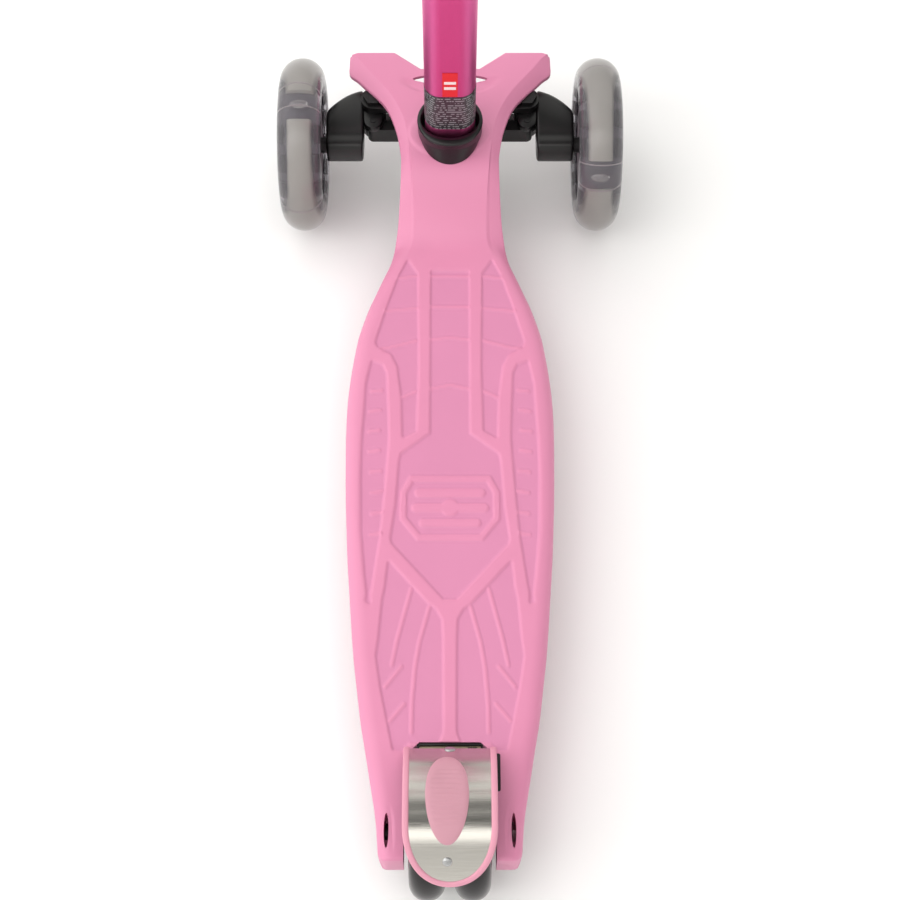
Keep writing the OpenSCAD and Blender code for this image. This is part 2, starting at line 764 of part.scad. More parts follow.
module lean_shaft() {
    color("silver") bar_y(lean_shaft_d / 2, neck_y - 7.5, kingpin_y + 1.6, 0, lean_z);
}

module steering_lever() {
    color("dimgray") difference() {
        union() {
            block([-3, rod_y - 3.4, lever_z - 3], [3, rod_y + 3.4, lean_z + 1]);
            block([-6, stem_y + 13, lean_z - 7], [6, rod_y + 3.4, lean_z]);
            bar_y(6, stem_y + 13, rod_y + 3.4, 0, lean_z);
        }
        bar_y(lean_shaft_d / 2, stem_y, stem_y + 60, 0, lean_z);
    }
}

module stem_plug() {
    color("#3a3a3c") difference() {
        on_stem() translate([0, 0, tube_foot]) linear_extrude(plug_l)
            oval(tube_w - 2 * tube_wall, tube_d - 2 * tube_wall);
        plug_holes();
    }
}

module plug_holes() {
    for (h = plug_bolts) on_stem() bar_y(2.5, -tube_d / 2 + tube_wall + 2, tube_d, 0, h);
}

plug_bolts = [tube_foot + 12, tube_foot + 28];

module lower_tube() {
    color("#d4498a") difference() {
        on_stem() translate([0, 0, tube_foot]) linear_extrude(lower_tube_l) difference() {
            oval(tube_w, tube_d);
            oval(tube_w - 2 * tube_wall, tube_d - 2 * tube_wall);
        }
        plug_holes();
    }
}

module stem_bolts() {
    color("#3a3a3a") for (h = plug_bolts) on_stem() {
        bar_y(2.5, -tube_d / 2 + tube_wall + 2, tube_d / 2, 0, h);
        bar_y(4, tube_d / 2, tube_d / 2 + 2, 0, h);
    }
}

label_low = tube_foot + 5;
label_h = 23;
module stem_label() {
    color("#26262a") on_stem() translate([0, -tube_d / 2 - 0.2, label_low])
        translate([-(tube_w - tube_d) / 2, 0, 0]) cube([tube_w - tube_d, 0.2, label_h]);
}

module clamp_collar() {
    color("#1d1c1c") difference() {
        on_stem() translate([0, 0, clamp_mid - clamp_h / 2]) {
            linear_extrude(clamp_h) oval(tube_w + 2 * clamp_wall, tube_d + 2 * clamp_wall);
            translate([0, -tube_d / 2 - clamp_wall - 5, 6]) linear_extrude(clamp_h - 12)
                square([2 * clamp_ear_x, 16], center = true);
        }
        on_stem() translate([0, 0, clamp_mid - clamp_h / 2 - pass])
            linear_extrude(tube_top - clamp_mid + clamp_h / 2 + pass) oval(tube_w, tube_d);
        on_stem() translate([0, 0, tube_top - pass]) linear_extrude(clamp_h)
            oval(inner_w + 2 * slide_gap, inner_d + 2 * slide_gap);
        on_stem() block([-1.5, -tube_d - 14, clamp_mid - clamp_h], [1.5, 0, clamp_mid + clamp_h]);
        on_stem() bar_x(clamp_pin_r, -40, 40, clamp_pin_y, clamp_mid);
    }
}

clamp_pin_y = -tube_d / 2 - clamp_wall - 8;

module clamp_pin() {
    color("silver") on_stem()
        bar_x(clamp_pin_r, -clamp_ear_x - 10, clamp_ear_x + 6, clamp_pin_y, clamp_mid);
}

module clamp_nut() {
    color("dimgray") on_stem() difference() {
        bar_x(6, clamp_ear_x, clamp_ear_x + 7, clamp_pin_y, clamp_mid);
        bar_x(clamp_pin_r, clamp_ear_x - pass, clamp_ear_x + 6, clamp_pin_y, clamp_mid);
    }
}

// Cam lever on the left of the clamp, turning about the clamp pin
module clamp_lever() {
    color("#1d1c1c") on_stem() difference() {
        union() {
            bar_x(8, -clamp_ear_x - 10, -clamp_ear_x - 0.4, clamp_pin_y, clamp_mid);
            block([-clamp_ear_x - 10, clamp_pin_y - 6, clamp_mid - 52],
                  [-clamp_ear_x - 4, clamp_pin_y + 4, clamp_mid]);
            bar_x(5, -clamp_ear_x - 10, -clamp_ear_x - 4, clamp_pin_y - 1, clamp_mid - 52);
        }
        bar_x(clamp_pin_r + run_gap, -60, 0, clamp_pin_y, clamp_mid);
    }
}

// ---- Handlebar ----------------------------------------------------------

module upper_tube() {
    color("#c9cacc") difference() {
        on_stem() translate([0, 0, upper_foot]) linear_extrude(bar_up - upper_foot - 4) difference() {
            oval(inner_w, inner_d);
            oval(inner_w - 2 * tube_wall, inner_d - 2 * tube_wall);
        }
        bar_x(bar_d / 2 + 3, -40, 40, bar_y, bar_z);
    }
}

module bar_tee() {
    tee_r = bar_d / 2 + 3.6;
    color("#1d1c1c") difference() {
        union() {
            bar_x(tee_r, -27, 27, bar_y, bar_z);
            on_stem() translate([0, 0, bar_up - 46]) linear_extrude(46) oval(inner_w + 7, inner_d + 7);
        }
        bar_x(bar_d / 2, -40, 40, bar_y, bar_z);
        on_stem() translate([0, 0, upper_foot]) linear_extrude(bar_up - upper_foot - 4)
            oval(inner_w, inner_d);
    }
}

module handlebar_tube() {
    color("#c9cacc") difference() {
        bar_x(bar_d / 2, -bar_w / 2 + 4, bar_w / 2 - 4, bar_y, bar_z);
        bar_x(bar_d / 2 - tube_wall, -bar_w / 2, bar_w / 2, bar_y, bar_z);
    }
}

module grip(side) {
    inner = bar_w / 2 - grip_l;
    color("#d4498a") mirror([side < 0 ? 1 : 0, 0, 0]) difference() {
        union() {
            bar_x(grip_d / 2, inner + 4, bar_w / 2 - 6, bar_y, bar_z);
            bar_x(grip_d / 2 + 3.5, inner, inner + 4, bar_y, bar_z);
            bar_x(grip_d / 2 + 2, bar_w / 2 - 6, bar_w / 2, bar_y, bar_z);
        }
        bar_x(bar_d / 2, inner - pass, bar_w / 2 - 3.9, bar_y, bar_z);
        bar_x(7, bar_w / 2 - 5, bar_w / 2 + pass, bar_y, bar_z);
    }
}

module bar_cap(side) {
    color("#1d1c1c") mirror([side < 0 ? 1 : 0, 0, 0])
        bar_x(7, bar_w / 2 - 3.9, bar_w / 2 - 0.5, bar_y, bar_z);
}

// ---- Nodes --------------------------------------------------------------

deck_board();
axle_beam();
beam_bolts();
kingpin_bolts();
kingpin_nuts();
lean_bearings();
lean_bumper(-1);  // lean_bumper_left
lean_bumper(1);  // lean_bumper_right
rear_axle();
rear_axle_nut();
rear_spacers();
brake_hinge_pin();
brake_spring();
bay_bracket();
steering_socket();
collar_ring();
lean_shaft();
steering_lever();
stem_plug();
lower_tube();
stem_bolts();
stem_label();
clamp_collar();
clamp_pin();
clamp_nut();
upper_tube();
bar_tee();
handlebar_tube();
grip(-1);  // grip_left
grip(1);  // grip_right
bar_cap(-1);  // bar_cap_left
bar_cap(1);  // bar_cap_right
clamp_lever();
track_rod();
knuckle(-1);  // knuckle_left
knuckle(1);  // knuckle_right
knuckle_pin(-1);  // knuckle_pin_left
knuckle_pin(1);  // knuckle_pin_right
axle_bolt(-1);  // axle_bolt_left
axle_bolt(1);  // axle_bolt_right
axle_nut(-1);  // axle_nut_left
axle_nut(1);  // axle_nut_right
front_core(-1);  // front_core_left
front_core(1);  // front_core_right
front_tyre(-1);  // front_tyre_left
front_tyre(1);  // front_tyre_right
front_bearings(-1);  // front_bearings_left
front_bearings(1);  // front_bearings_right
rear_core(-1);  // rear_core_left
rear_core(1);  // rear_core_right
rear_tyre(-1);  // rear_tyre_left
rear_tyre(1);  // rear_tyre_right
rear_bearings(-1);  // rear_bearings_left
rear_bearings(1);  // rear_bearings_right
brake_plate();
brake_rim_trim();
brake_pad();
brake_hinge();
brake_rivets();
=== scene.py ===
"""Looks of a three-wheel lean-to-steer kick scooter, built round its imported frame."""

import logging
import math
from dataclasses import dataclass, field
from enum import Enum
from typing import Callable, Sequence

import bpy
import numpy as np
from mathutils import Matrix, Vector


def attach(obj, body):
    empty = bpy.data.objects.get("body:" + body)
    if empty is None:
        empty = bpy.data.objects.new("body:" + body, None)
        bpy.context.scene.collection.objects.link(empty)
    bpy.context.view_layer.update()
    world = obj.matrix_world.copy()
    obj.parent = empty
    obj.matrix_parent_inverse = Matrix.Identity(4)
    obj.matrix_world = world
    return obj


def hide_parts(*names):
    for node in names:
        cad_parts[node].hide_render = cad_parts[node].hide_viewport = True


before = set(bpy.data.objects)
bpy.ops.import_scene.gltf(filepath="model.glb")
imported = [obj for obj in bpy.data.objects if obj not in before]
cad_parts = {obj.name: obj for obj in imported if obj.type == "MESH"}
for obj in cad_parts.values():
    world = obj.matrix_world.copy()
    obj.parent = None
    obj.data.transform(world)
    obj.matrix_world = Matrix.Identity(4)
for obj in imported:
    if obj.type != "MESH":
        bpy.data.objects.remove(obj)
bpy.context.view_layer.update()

LOG = logging.getLogger("kick_scooter")
MM = 0.001
Piece = bpy.types.Object
Array = np.ndarray
Outline = Sequence[tuple[float, float]]
Corners = tuple[tuple[float, float, float], tuple[float, float, float]]


class Side(Enum):
    """Which side of the scooter a piece is on, as the sign of its X."""

    LEFT = -1
    RIGHT = 1

    @property
    def word(self) -> str:
        """The side's name as it stands in node and body names."""
        return self.name.lower()


# ---- Colours and nodes ----------------------------------------------------


def linear_colour(code: str) -> tuple[float, float, float, float]:
    """Turns an sRGB hex colour into linear light.

    Args:
        code: The colour as six hex digits after a hash sign.

    Returns:
        Linear red, green, blue and an alpha of one.
    """
    parts = [int(code[i : i + 2], 16) / 255 for i in (1, 3, 5)]
    low = [p / 12.92 if p <= 0.04045 else ((p + 0.055) / 1.055) ** 2.4 for p in parts]
    return (*low, 1.0)


def per_metre(size_mm: float) -> float:
    """Texture scale at which one feature of the pattern measures size_mm."""
    return 1000.0 / size_mm


def add_node(tree: bpy.types.NodeTree, kind: str, values: dict | None = None, **settings) -> bpy.types.Node:
    """Adds one node with its settings, values and links.

    Args:
        tree: The node tree that takes the node.
        kind: The node's type name, such as ShaderNodeBump.
        values: Input name or index to a constant, or to an output socket to link.
        **settings: The node's own properties.

    Returns:
        The new node.
    """
    node = tree.nodes.new(kind)
    for name, value in settings.items():
        setattr(node, name, value)
    for name, value in (values or {}).items():
        socket = node.inputs[name]
        if isinstance(value, bpy.types.NodeSocket):
            tree.links.new(value, socket)
        else:
            socket.default_value = value
    return node


def set_ramp(node: bpy.types.Node, stops: Sequence[tuple[float, tuple]]) -> None:
    """Gives a colour ramp its stops.

    Args:
        node: The Color Ramp node.
        stops: Place and colour of each stop, in rising order.
    """
    ramp = node.color_ramp
    while len(ramp.elements) < len(stops):
        ramp.elements.new(1.0)
    for element, (place, colour) in zip(ramp.elements, stops):
        element.position = place
        element.color = colour


@dataclass(frozen=True)
class Finish:
    """What every finish has: a maker's name, a base colour and a roughness."""

    name: str
    colour: str
    roughness: float

    def start(self) -> tuple[bpy.types.Material, bpy.types.NodeTree, bpy.types.Node]:
        """Starts a material with one principled shader.

        Returns:
            The material, its node tree and the shader node.
        """
        material = bpy.data.materials.new(self.name)
        material.use_nodes = True
        tree = material.node_tree
        tree.nodes.clear()
        shader = add_node(tree, "ShaderNodeBsdfPrincipled", {"Roughness": self.roughness})
        add_node(tree, "ShaderNodeOutputMaterial", {"Surface": shader.outputs[0]})
        shader.inputs["Base Color"].default_value = linear_colour(self.colour)
        return material, tree, shader

    def place(self, tree: bpy.types.NodeTree) -> bpy.types.NodeSocket:
        """The piece's own coordinates, in metres."""
        return add_node(tree, "ShaderNodeTexCoord").outputs["Object"]


@dataclass(frozen=True)
class Moulding(Finish):
    """Injection-moulded plastic: a fine spark-eroded grain and a slow drift of tone, as on moulded nylon.

    The real grain is about 0.1 mm, too fine to show, so it is drawn at around a millimetre.
    """

    grain_mm: float = 0.8
    grain_depth: float = 0.06
    second_colour: str = ""
    mask: str = ""
    mask_roughness: float = 0.5
    tone: float = 0.03

    def build(self) -> bpy.types.Material:
        """Builds the moulded plastic.

        Returns:
            The finished material.
        """
        material, tree, shader = self.start()
        place = self.place(tree)
        drift = add_node(tree, "ShaderNodeTexNoise", {"Vector": place, "Scale": per_metre(45), "Detail": 3.0})
        base = add_node(tree, "ShaderNodeRGB")
        base.outputs[0].default_value = linear_colour(self.colour)
        colour = base.outputs[0]
        rough = add_node(tree, "ShaderNodeMapRange", {
            "Value": drift.outputs[0], "To Min": self.roughness - 0.03, "To Max": self.roughness + 0.05})
        rough_out = rough.outputs[0]
        if self.mask:
            mask = add_node(tree, "ShaderNodeAttribute", attribute_name=self.mask)
            blend = add_node(tree, "ShaderNodeMix", {
                0: mask.outputs["Fac"], 6: colour, 7: linear_colour(self.second_colour)}, data_type="RGBA")
            colour = blend.outputs[2]
            rough_blend = add_node(tree, "ShaderNodeMix", {
                0: mask.outputs["Fac"], 2: rough_out, 3: self.mask_roughness})
            rough_out = rough_blend.outputs[0]
        value = add_node(tree, "ShaderNodeMapRange", {
            "Value": drift.outputs[0], "From Min": 0.3, "From Max": 0.7,
            "To Min": 1 - self.tone, "To Max": 1 + self.tone})
        tint = add_node(tree, "ShaderNodeHueSaturation", {"Value": value.outputs[0], "Color": colour})
        tree.links.new(tint.outputs[0], shader.inputs["Base Color"])
        tree.links.new(rough_out, shader.inputs["Roughness"])
        grain = add_node(tree, "ShaderNodeTexNoise", {
            "Vector": place, "Scale": per_metre(self.grain_mm), "Detail": 2.0})
        bump = add_node(tree, "ShaderNodeBump", {
            "Height": grain.outputs[0], "Strength": self.grain_depth, "Distance": 0.0004})
        tree.links.new(bump.outputs[0], shader.inputs["Normal"])
        return material


@dataclass(frozen=True)
class Metalwork(Finish):
    """Bare, plated or anodised metal: fine lines left along one direction by drawing, turning or brushing.

    Real brush lines are about 0.05 mm apart, so they are drawn several times as coarse, to show.
    """

    line_mm: float = 0.25
    line_stretch: tuple[float, float, float] = (0.02, 1.0, 1.0)
    line_depth: float = 0.12
    streak: float = 0.12
    tone: float = 0.05

    def build(self) -> bpy.types.Material:
        """Builds the metal.

        Returns:
            The finished material.
        """
        material, tree, shader = self.start()
        shader.inputs["Metallic"].default_value = 1.0
        place = self.place(tree)
        stretched = add_node(tree, "ShaderNodeMapping", {"Vector": place, "Scale": self.line_stretch})
        lines = add_node(tree, "ShaderNodeTexNoise", {
            "Vector": stretched.outputs[0], "Scale": per_metre(self.line_mm), "Detail": 4.0})
        rough = add_node(tree, "ShaderNodeMapRange", {
            "Value": lines.outputs[0], "From Min": 0.3, "From Max": 0.7,
            "To Min": self.roughness * (1 - self.streak), "To Max": self.roughness * (1 + self.streak)})
        tree.links.new(rough.outputs[0], shader.inputs["Roughness"])
        value = add_node(tree, "ShaderNodeMapRange", {
            "Value": lines.outputs[0], "From Min": 0.3, "From Max": 0.7,
            "To Min": 1 - self.tone, "To Max": 1 + self.tone})
        tint = add_node(tree, "ShaderNodeHueSaturation", {
            "Value": value.outputs[0], "Color": linear_colour(self.colour)})
        tree.links.new(tint.outputs[0], shader.inputs["Base Color"])
        bump = add_node(tree, "ShaderNodeBump", {
            "Height": lines.outputs[0], "Strength": self.line_depth, "Distance": 0.0002})
        tree.links.new(bump.outputs[0], shader.inputs["Normal"])
        return material


@dataclass(frozen=True)
class Urethane(Finish):
    """Cast polyurethane tyre: tinted, mostly clear, with a faint haze and a skin of fine scuffs."""

    clearness: float = 0.8
    haze_mm: float = 9.0

    def build(self) -> bpy.types.Material:
        """Builds the cast urethane.

        Returns:
            The finished material.
        """
        material, tree, shader = self.start()
        place = self.place(tree)
        haze = add_node(tree, "ShaderNodeTexNoise", {
            "Vector": place, "Scale": per_metre(self.haze_mm), "Detail": 3.0})
        rough = add_node(tree, "ShaderNodeMapRange", {
            "Value": haze.outputs[0], "To Min": self.roughness * 0.7, "To Max": self.roughness * 1.4})
        tree.links.new(rough.outputs[0], shader.inputs["Roughness"])
        shader.inputs["Transmission Weight"].default_value = self.clearness
        shader.inputs["IOR"].default_value = 1.42
        scuff = add_node(tree, "ShaderNodeTexNoise", {
            "Vector": place, "Scale": per_metre(1.2), "Detail": 3.0})
        bump = add_node(tree, "ShaderNodeBump", {
            "Height": scuff.outputs[0], "Strength": 0.04, "Distance": 0.0003})
        tree.links.new(bump.outputs[0], shader.inputs["Normal"])
        return material


@dataclass(frozen=True)
class PrintedFilm(Finish):
    """Printed label film: rows of short light bars on a dark ground, laid out on the film's own map."""

    ink: str = "#8F8F92"
    rows: float = 15.0
    words: float = 16.0
    fill: float = 0.42

    def build(self) -> bpy.types.Material:
        """Builds the printed film.

        Returns:
            The finished material.
        """
        material, tree, shader = self.start()
        uv = add_node(tree, "ShaderNodeTexCoord").outputs["UV"]
        split = add_node(tree, "ShaderNodeSeparateXYZ", {0: uv})
        row = add_node(tree, "ShaderNodeMath", {0: split.outputs[1], 1: self.rows}, operation="MULTIPLY")
        part = add_node(tree, "ShaderNodeMath", {0: row.outputs[0]}, operation="FRACT")
        inked = add_node(tree, "ShaderNodeMath", {0: part.outputs[0], 1: self.fill}, operation="LESS_THAN")
        number = add_node(tree, "ShaderNodeMath", {0: row.outputs[0]}, operation="FLOOR")
        along = add_node(tree, "ShaderNodeMath", {0: split.outputs[0], 1: self.words}, operation="MULTIPLY")
        spot = add_node(tree, "ShaderNodeCombineXYZ", {0: along.outputs[0], 1: number.outputs[0], 2: 0.5})
        gaps = add_node(tree, "ShaderNodeTexNoise", {"Vector": spot.outputs[0], "Scale": 1.7, "Detail": 2.0})
        word = add_node(tree, "ShaderNodeMath", {0: gaps.outputs[0], 1: 0.47}, operation="GREATER_THAN")
        edge_low = add_node(tree, "ShaderNodeMath", {0: split.outputs[0], 1: 0.06}, operation="GREATER_THAN")
        edge_high = add_node(tree, "ShaderNodeMath", {0: split.outputs[0], 1: 0.94}, operation="LESS_THAN")
        inside = add_node(tree, "ShaderNodeMath", {0: edge_low.outputs[0], 1: edge_high.outputs[0]},
                          operation="MULTIPLY")
        both = add_node(tree, "ShaderNodeMath", {0: inked.outputs[0], 1: word.outputs[0]},
                        operation="MULTIPLY")
        shown = add_node(tree, "ShaderNodeMath", {0: both.outputs[0], 1: inside.outputs[0]},
                         operation="MULTIPLY")
        mix = add_node(tree, "ShaderNodeMix", {
            0: shown.outputs[0], 6: linear_colour(self.colour), 7: linear_colour(self.ink)}, data_type="RGBA")
        tree.links.new(mix.outputs[2], shader.inputs["Base Color"])
        return material


# Mouldings are satin with a soft sheen at the edges. The two black nylons differ in gloss, and the
# rubbers are matt. The urethanes are glossy outside with a cloudy body. The metals run from the stem's
# soft magenta sheen and the bar's pale satin to the brake's mirror-like streaks along its brushing.
FINISHES: dict[str, Finish] = {
    "deck": Moulding("moulded_pink_nylon", "#DA89AB", 0.42, grain_mm=0.9, grain_depth=0.05,
                     second_colour="#D386AA", mask="panel_floor", mask_roughness=0.52, tone=0.015),
    "black": Moulding("moulded_black_nylon", "#0E0D0E", 0.33, grain_mm=0.8, grain_depth=0.08, tone=0.10),
    "dark_black": Moulding("glass_filled_black_nylon", "#0C0B0C", 0.45, grain_mm=1.0, grain_depth=0.12,
                           tone=0.12),
    "border": Moulding("soft_pink_rubber", "#DC97AC", 0.50, grain_mm=0.8, grain_depth=0.10, tone=0.03),
    "pad": Moulding("dusty_pink_rubber", "#C7909F", 0.55, grain_mm=0.8, grain_depth=0.12, tone=0.03),
    "core": Moulding("moulded_grey_core", "#F2F1DE", 0.45, grain_mm=1.2, grain_depth=0.08, tone=0.05),
    # Dark core colour: the rear cores' own colour, and painted shade on the front cores' flanks, web, spokes
    # and hub.
    "dark_core_and_painted_shade": Moulding("moulded_dark_core_and_painted_shade", "#2B262A", 0.40, grain_mm=1.2, grain_depth=0.08, tone=0.08),
    "rim": Moulding("moulded_smoke_rim", "#857C84", 0.40, grain_mm=1.2, grain_depth=0.05, tone=0.05),
    "grip": Moulding("magenta_grip_rubber", "#CC3A7E", 0.62, grain_mm=0.9, grain_depth=0.2, tone=0.05),
    "bumper": Moulding("amber_urethane_spring", "#D2BD3C", 0.35, grain_mm=1.5, grain_depth=0.05),
    "strip": Moulding("pale_painted_strip", "#C3B294", 0.45, grain_mm=1.0, grain_depth=0.06),
    "badge": Moulding("red_vinyl_badge", "#E01E1C", 0.35, grain_mm=1.0, grain_depth=0.02, tone=0.02),
    # White print finish: the badge bars' own print, and a painted highlight on the front tyres' seams.
    "badge_bar": Moulding("white_print_and_painted_glint", "#F2E4E2", 0.40, grain_mm=1.0, grain_depth=0.02),
    "front_urethane": Urethane("cast_smoke_urethane", "#B2AFB6", 0.17, clearness=0.84),
    "rear_urethane": Urethane("cast_dark_urethane", "#1E191B", 0.16, clearness=0.12),
    "lamp": Urethane("clear_lamp_capsule", "#F4F2EC", 0.04, clearness=0.7),
    "anodised": Metalwork("magenta_anodised_aluminium", "#DC64A0", 0.46, line_mm=0.5,
                          line_stretch=(1.0, 1.0, 0.02), line_depth=0.05, streak=0.08, tone=0.03),
    "bare": Metalwork("satin_anodised_aluminium", "#C9CACC", 0.30, line_mm=0.5,
                      line_stretch=(1.0, 1.0, 0.02), line_depth=0.06),
    "brushed": Metalwork("brushed_stainless_steel", "#C9C6C0", 0.20, line_mm=0.35,
                         line_stretch=(0.02, 1.0, 1.0), line_depth=0.10, streak=0.30, tone=0.05),
    "zinc": Metalwork("zinc_plated_steel", "#B7B8B9", 0.30, line_mm=1.0,
                      line_stretch=(1.0, 1.0, 1.0), line_depth=0.05),
    "black_steel": Metalwork("blackened_steel", "#3B3A3B", 0.42, line_mm=0.8,
                             line_stretch=(1.0, 1.0, 1.0), line_depth=0.10),
    "bronze": Metalwork("sintered_bronze", "#B08A45", 0.40, line_mm=0.8,
                        line_stretch=(1.0, 1.0, 1.0), line_depth=0.10),
    "label": PrintedFilm("printed_dark_film", "#242427", 0.35),
}
BUILT: dict[str, bpy.types.Material] = {}


def finish(name: str) -> bpy.types.Material:
    """Builds a finish once and hands it out again afterwards.

    Args:
        name: The finish's key in FINISHES.

    Returns:
        Its material.
    """
    if name not in BUILT:
        BUILT[name] = FINISHES[name].build()
    return BUILT[name]


# ---- Modelling steps ------------------------------------------------------


def deselect() -> None:
    """Leaves nothing selected, so an operator acts only on what comes next."""
    if bpy.context.object is not None and bpy.context.object.mode != "OBJECT":
        bpy.ops.object.mode_set(mode="OBJECT")
    bpy.ops.object.select_all(action="DESELECT")


def single_out(piece: Piece) -> None:
    """Selects one piece alone and makes it active."""
    deselect()
    piece.select_set(True)
    bpy.context.view_layer.objects.active = piece


def tidy_mesh(piece: Piece, merge_mm: float = 0.01) -> None:
    """Merges doubled points and turns every face outwards.

    Args:
        piece: The piece to tidy.
        merge_mm: Points closer than this become one.
    """
    single_out(piece)
    bpy.ops.object.mode_set(mode="EDIT")
    bpy.ops.mesh.select_all(action="SELECT")
    bpy.ops.mesh.remove_doubles(threshold=merge_mm * MM)
    bpy.ops.mesh.normals_make_consistent(inside=False)
    bpy.ops.object.mode_set(mode="OBJECT")


def settle(piece: Piece, name: str, look: str, angle: float = 35.0) -> Piece:
    """Puts a piece's place into its mesh, shades it and gives it its finish.

    Args:
        piece: The piece to settle.
        name: Its name.
        look: Its finish, a key of FINISHES.
        angle: Edges sharper than this stay sharp, in degrees.

    Returns:
        The same piece.
    """
    single_out(piece)
    bpy.ops.object.transform_apply(location=True, rotation=True, scale=True)
    bpy.ops.object.shade_smooth_by_angle(angle=math.radians(angle))
    piece.name = name
    piece.data.name = name
    piece.data.materials.clear()
    piece.data.materials.append(finish(look))
    return piece


def apply_modifier(piece: Piece, kind: str, **settings) -> None:
    """Adds a modifier with its settings and applies it at once.

    Args:
        piece: The piece that takes the modifier.
        kind: The modifier's type name.
        **settings: The modifier's own properties.
    """
    single_out(piece)
    modifier = piece.modifiers.new(kind.lower(), kind)
    for name, value in settings.items():
        setattr(modifier, name, value)
    bpy.ops.object.modifier_apply(modifier=modifier.name)


def wrapped_grid(
    columns: int, rows: int, place: Callable[[Array, Array], Array], merge_mm: float = 0.01
) -> Piece:
    """Adds a flat grid and wraps it round a form.

    Args:
        columns: Cells across the grid.
        rows: Cells along the grid.
        place: Takes each point's column and row number and returns its X, Y, Z in millimetres.
        merge_mm: Points closer than this become one.

    Returns:
        The wrapped piece, with its seams closed and its faces turned outwards.
    """
    deselect()
    bpy.ops.mesh.primitive_grid_add(x_subdivisions=columns, y_subdivisions=rows, size=2)
    piece = bpy.context.object
    flat = np.empty(len(piece.data.vertices) * 3)
    piece.data.vertices.foreach_get("co", flat)
    flat = flat.reshape(-1, 3)
    column = np.rint((flat[:, 0] + 1) / 2 * columns).astype(int)
    row = np.rint((flat[:, 1] + 1) / 2 * rows).astype(int)
    piece.data.vertices.foreach_set("co", (place(column, row) * MM).ravel())
    piece.data.update()
    tidy_mesh(piece, merge_mm)
    return piece


def turned(
    outline: Outline, centre: Vector, steps: int = 96, sweep: float = 360.0, start: float = 0.0
) -> Piece:
    """Spins a closed outline about a line along X.

    Args:
        outline: Points as distance along X and radius, in millimetres, going round the section.
        centre: Middle of the turned piece, in metres.
        steps: Steps round the sweep.
        sweep: How far the outline turns, in degrees.
        start: Where the sweep starts, in degrees from upright.

    Returns:
        The turned piece, closed at both ends where it is not a full turn.
    """
    deselect()
    bpy.ops.mesh.primitive_circle_add(vertices=len(outline), radius=1)
    piece = bpy.context.object
    lean = math.radians(start)
    for vertex, (along, radius) in zip(piece.data.vertices, outline):
        offset = Vector((along, -radius * math.sin(lean), radius * math.cos(lean)))
        vertex.co = centre + offset * MM
    bpy.ops.object.mode_set(mode="EDIT")
    bpy.ops.mesh.select_all(action="SELECT")
    if sweep < 360:
        bpy.ops.mesh.edge_face_add()
    bpy.ops.mesh.spin(steps=steps, angle=math.radians(sweep), center=centre, axis=(-1, 0, 0))
    bpy.ops.object.mode_set(mode="OBJECT")
    tidy_mesh(piece)
    return piece


def box(low: Sequence[float], high: Sequence[float], round_mm: float = 0.6, segments: int = 2) -> Piece:
    """Adds a block between two corners with its edges rounded.

    Args:
        low: Lowest corner in millimetres.
        high: Highest corner in millimetres.
        round_mm: Width of the rounding, or none at zero.
        segments: Steps in the rounding.

    Returns:
        The block.
    """
    deselect()
    size = [b - a for a, b in zip(low, high)]
    middle = [(a + b) / 2 * MM for a, b in zip(low, high)]
    bpy.ops.mesh.primitive_cube_add(size=1, location=middle, scale=[s * MM for s in size])
    piece = bpy.context.object
    bpy.ops.object.transform_apply(location=True, rotation=True, scale=True)
    if round_mm > 0:
        bpy.ops.object.mode_set(mode="EDIT")
        bpy.ops.mesh.select_all(action="SELECT")
        bpy.ops.mesh.bevel(offset=min(round_mm, min(size) * 0.45) * MM, segments=segments)
        bpy.ops.object.mode_set(mode="OBJECT")
    return piece


def prism(outline: Outline, z_low: float, z_high: float) -> Piece:
    """Raises an outline in the X-Y plane into a closed prism.

    Args:
        outline: Corner points in millimetres, going round.
        z_low: Height of the prism's foot in millimetres.
        z_high: Height of its top.

    Returns:
        The prism.
    """
    deselect()
    bpy.ops.mesh.primitive_circle_add(vertices=len(outline), radius=1)
    piece = bpy.context.object
    for vertex, (x, y) in zip(piece.data.vertices, outline):
        vertex.co = (x * MM, y * MM, z_low * MM)
    bpy.ops.object.mode_set(mode="EDIT")
    bpy.ops.mesh.select_all(action="SELECT")
    bpy.ops.mesh.edge_face_add()
    bpy.ops.mesh.extrude_region_move(TRANSFORM_OT_translate={"value": (0, 0, (z_high - z_low) * MM)})
    bpy.ops.object.mode_set(mode="OBJECT")
    tidy_mesh(piece)
    return piece


def joined(parts: Sequence[Piece]) -> Piece:
    """Joins several pieces into the first.

    Args:
        parts: The pieces, all settled in place.

    Returns:
        The one piece that holds them all.
    """
    deselect()
    for part in parts:
        part.select_set(True)
    bpy.context.view_layer.objects.active = parts[0]
    bpy.ops.object.join()
    return parts[0]


def cut_out(piece: Piece, cutters: Sequence[Piece]) -> None:
    """Cuts shapes out of a piece and throws the cutters away.

    Args:
        piece: The piece to cut.
        cutters: Closed shapes that don't touch each other.
    """
    cutter = joined(cutters)
    apply_modifier(piece, "BOOLEAN", operation="DIFFERENCE", solver="EXACT", object=cutter)
    bpy.data.objects.remove(cutter)


def dress(nodes: Sequence[str], look: str, round_mm: float = 0.4) -> None:
    """Gives CAD nodes a finish and softly rounded edges, leaving their own mesh alone.

    Args:
        nodes: Names of the nodes.
        look: Their finish, a key of FINISHES.
        round_mm: Width of the rounding, or none at zero.
    """
    for name in nodes:
        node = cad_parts[name]
        node.data.materials.clear()
        node.data.materials.append(finish(look))
        weld = node.modifiers.new("weld", "WELD")
        weld.merge_threshold = 0.00001
        if round_mm > 0:
            bevel = node.modifiers.new("rounding", "BEVEL")
            bevel.width = round_mm * MM
            bevel.segments = 2
            bevel.limit_method = "ANGLE"
            bevel.angle_limit = math.radians(32)
            even = node.modifiers.new("shading", "WEIGHTED_NORMAL")
            even.keep_sharp = True
        LOG.info("dressed %s as %s", name, look)


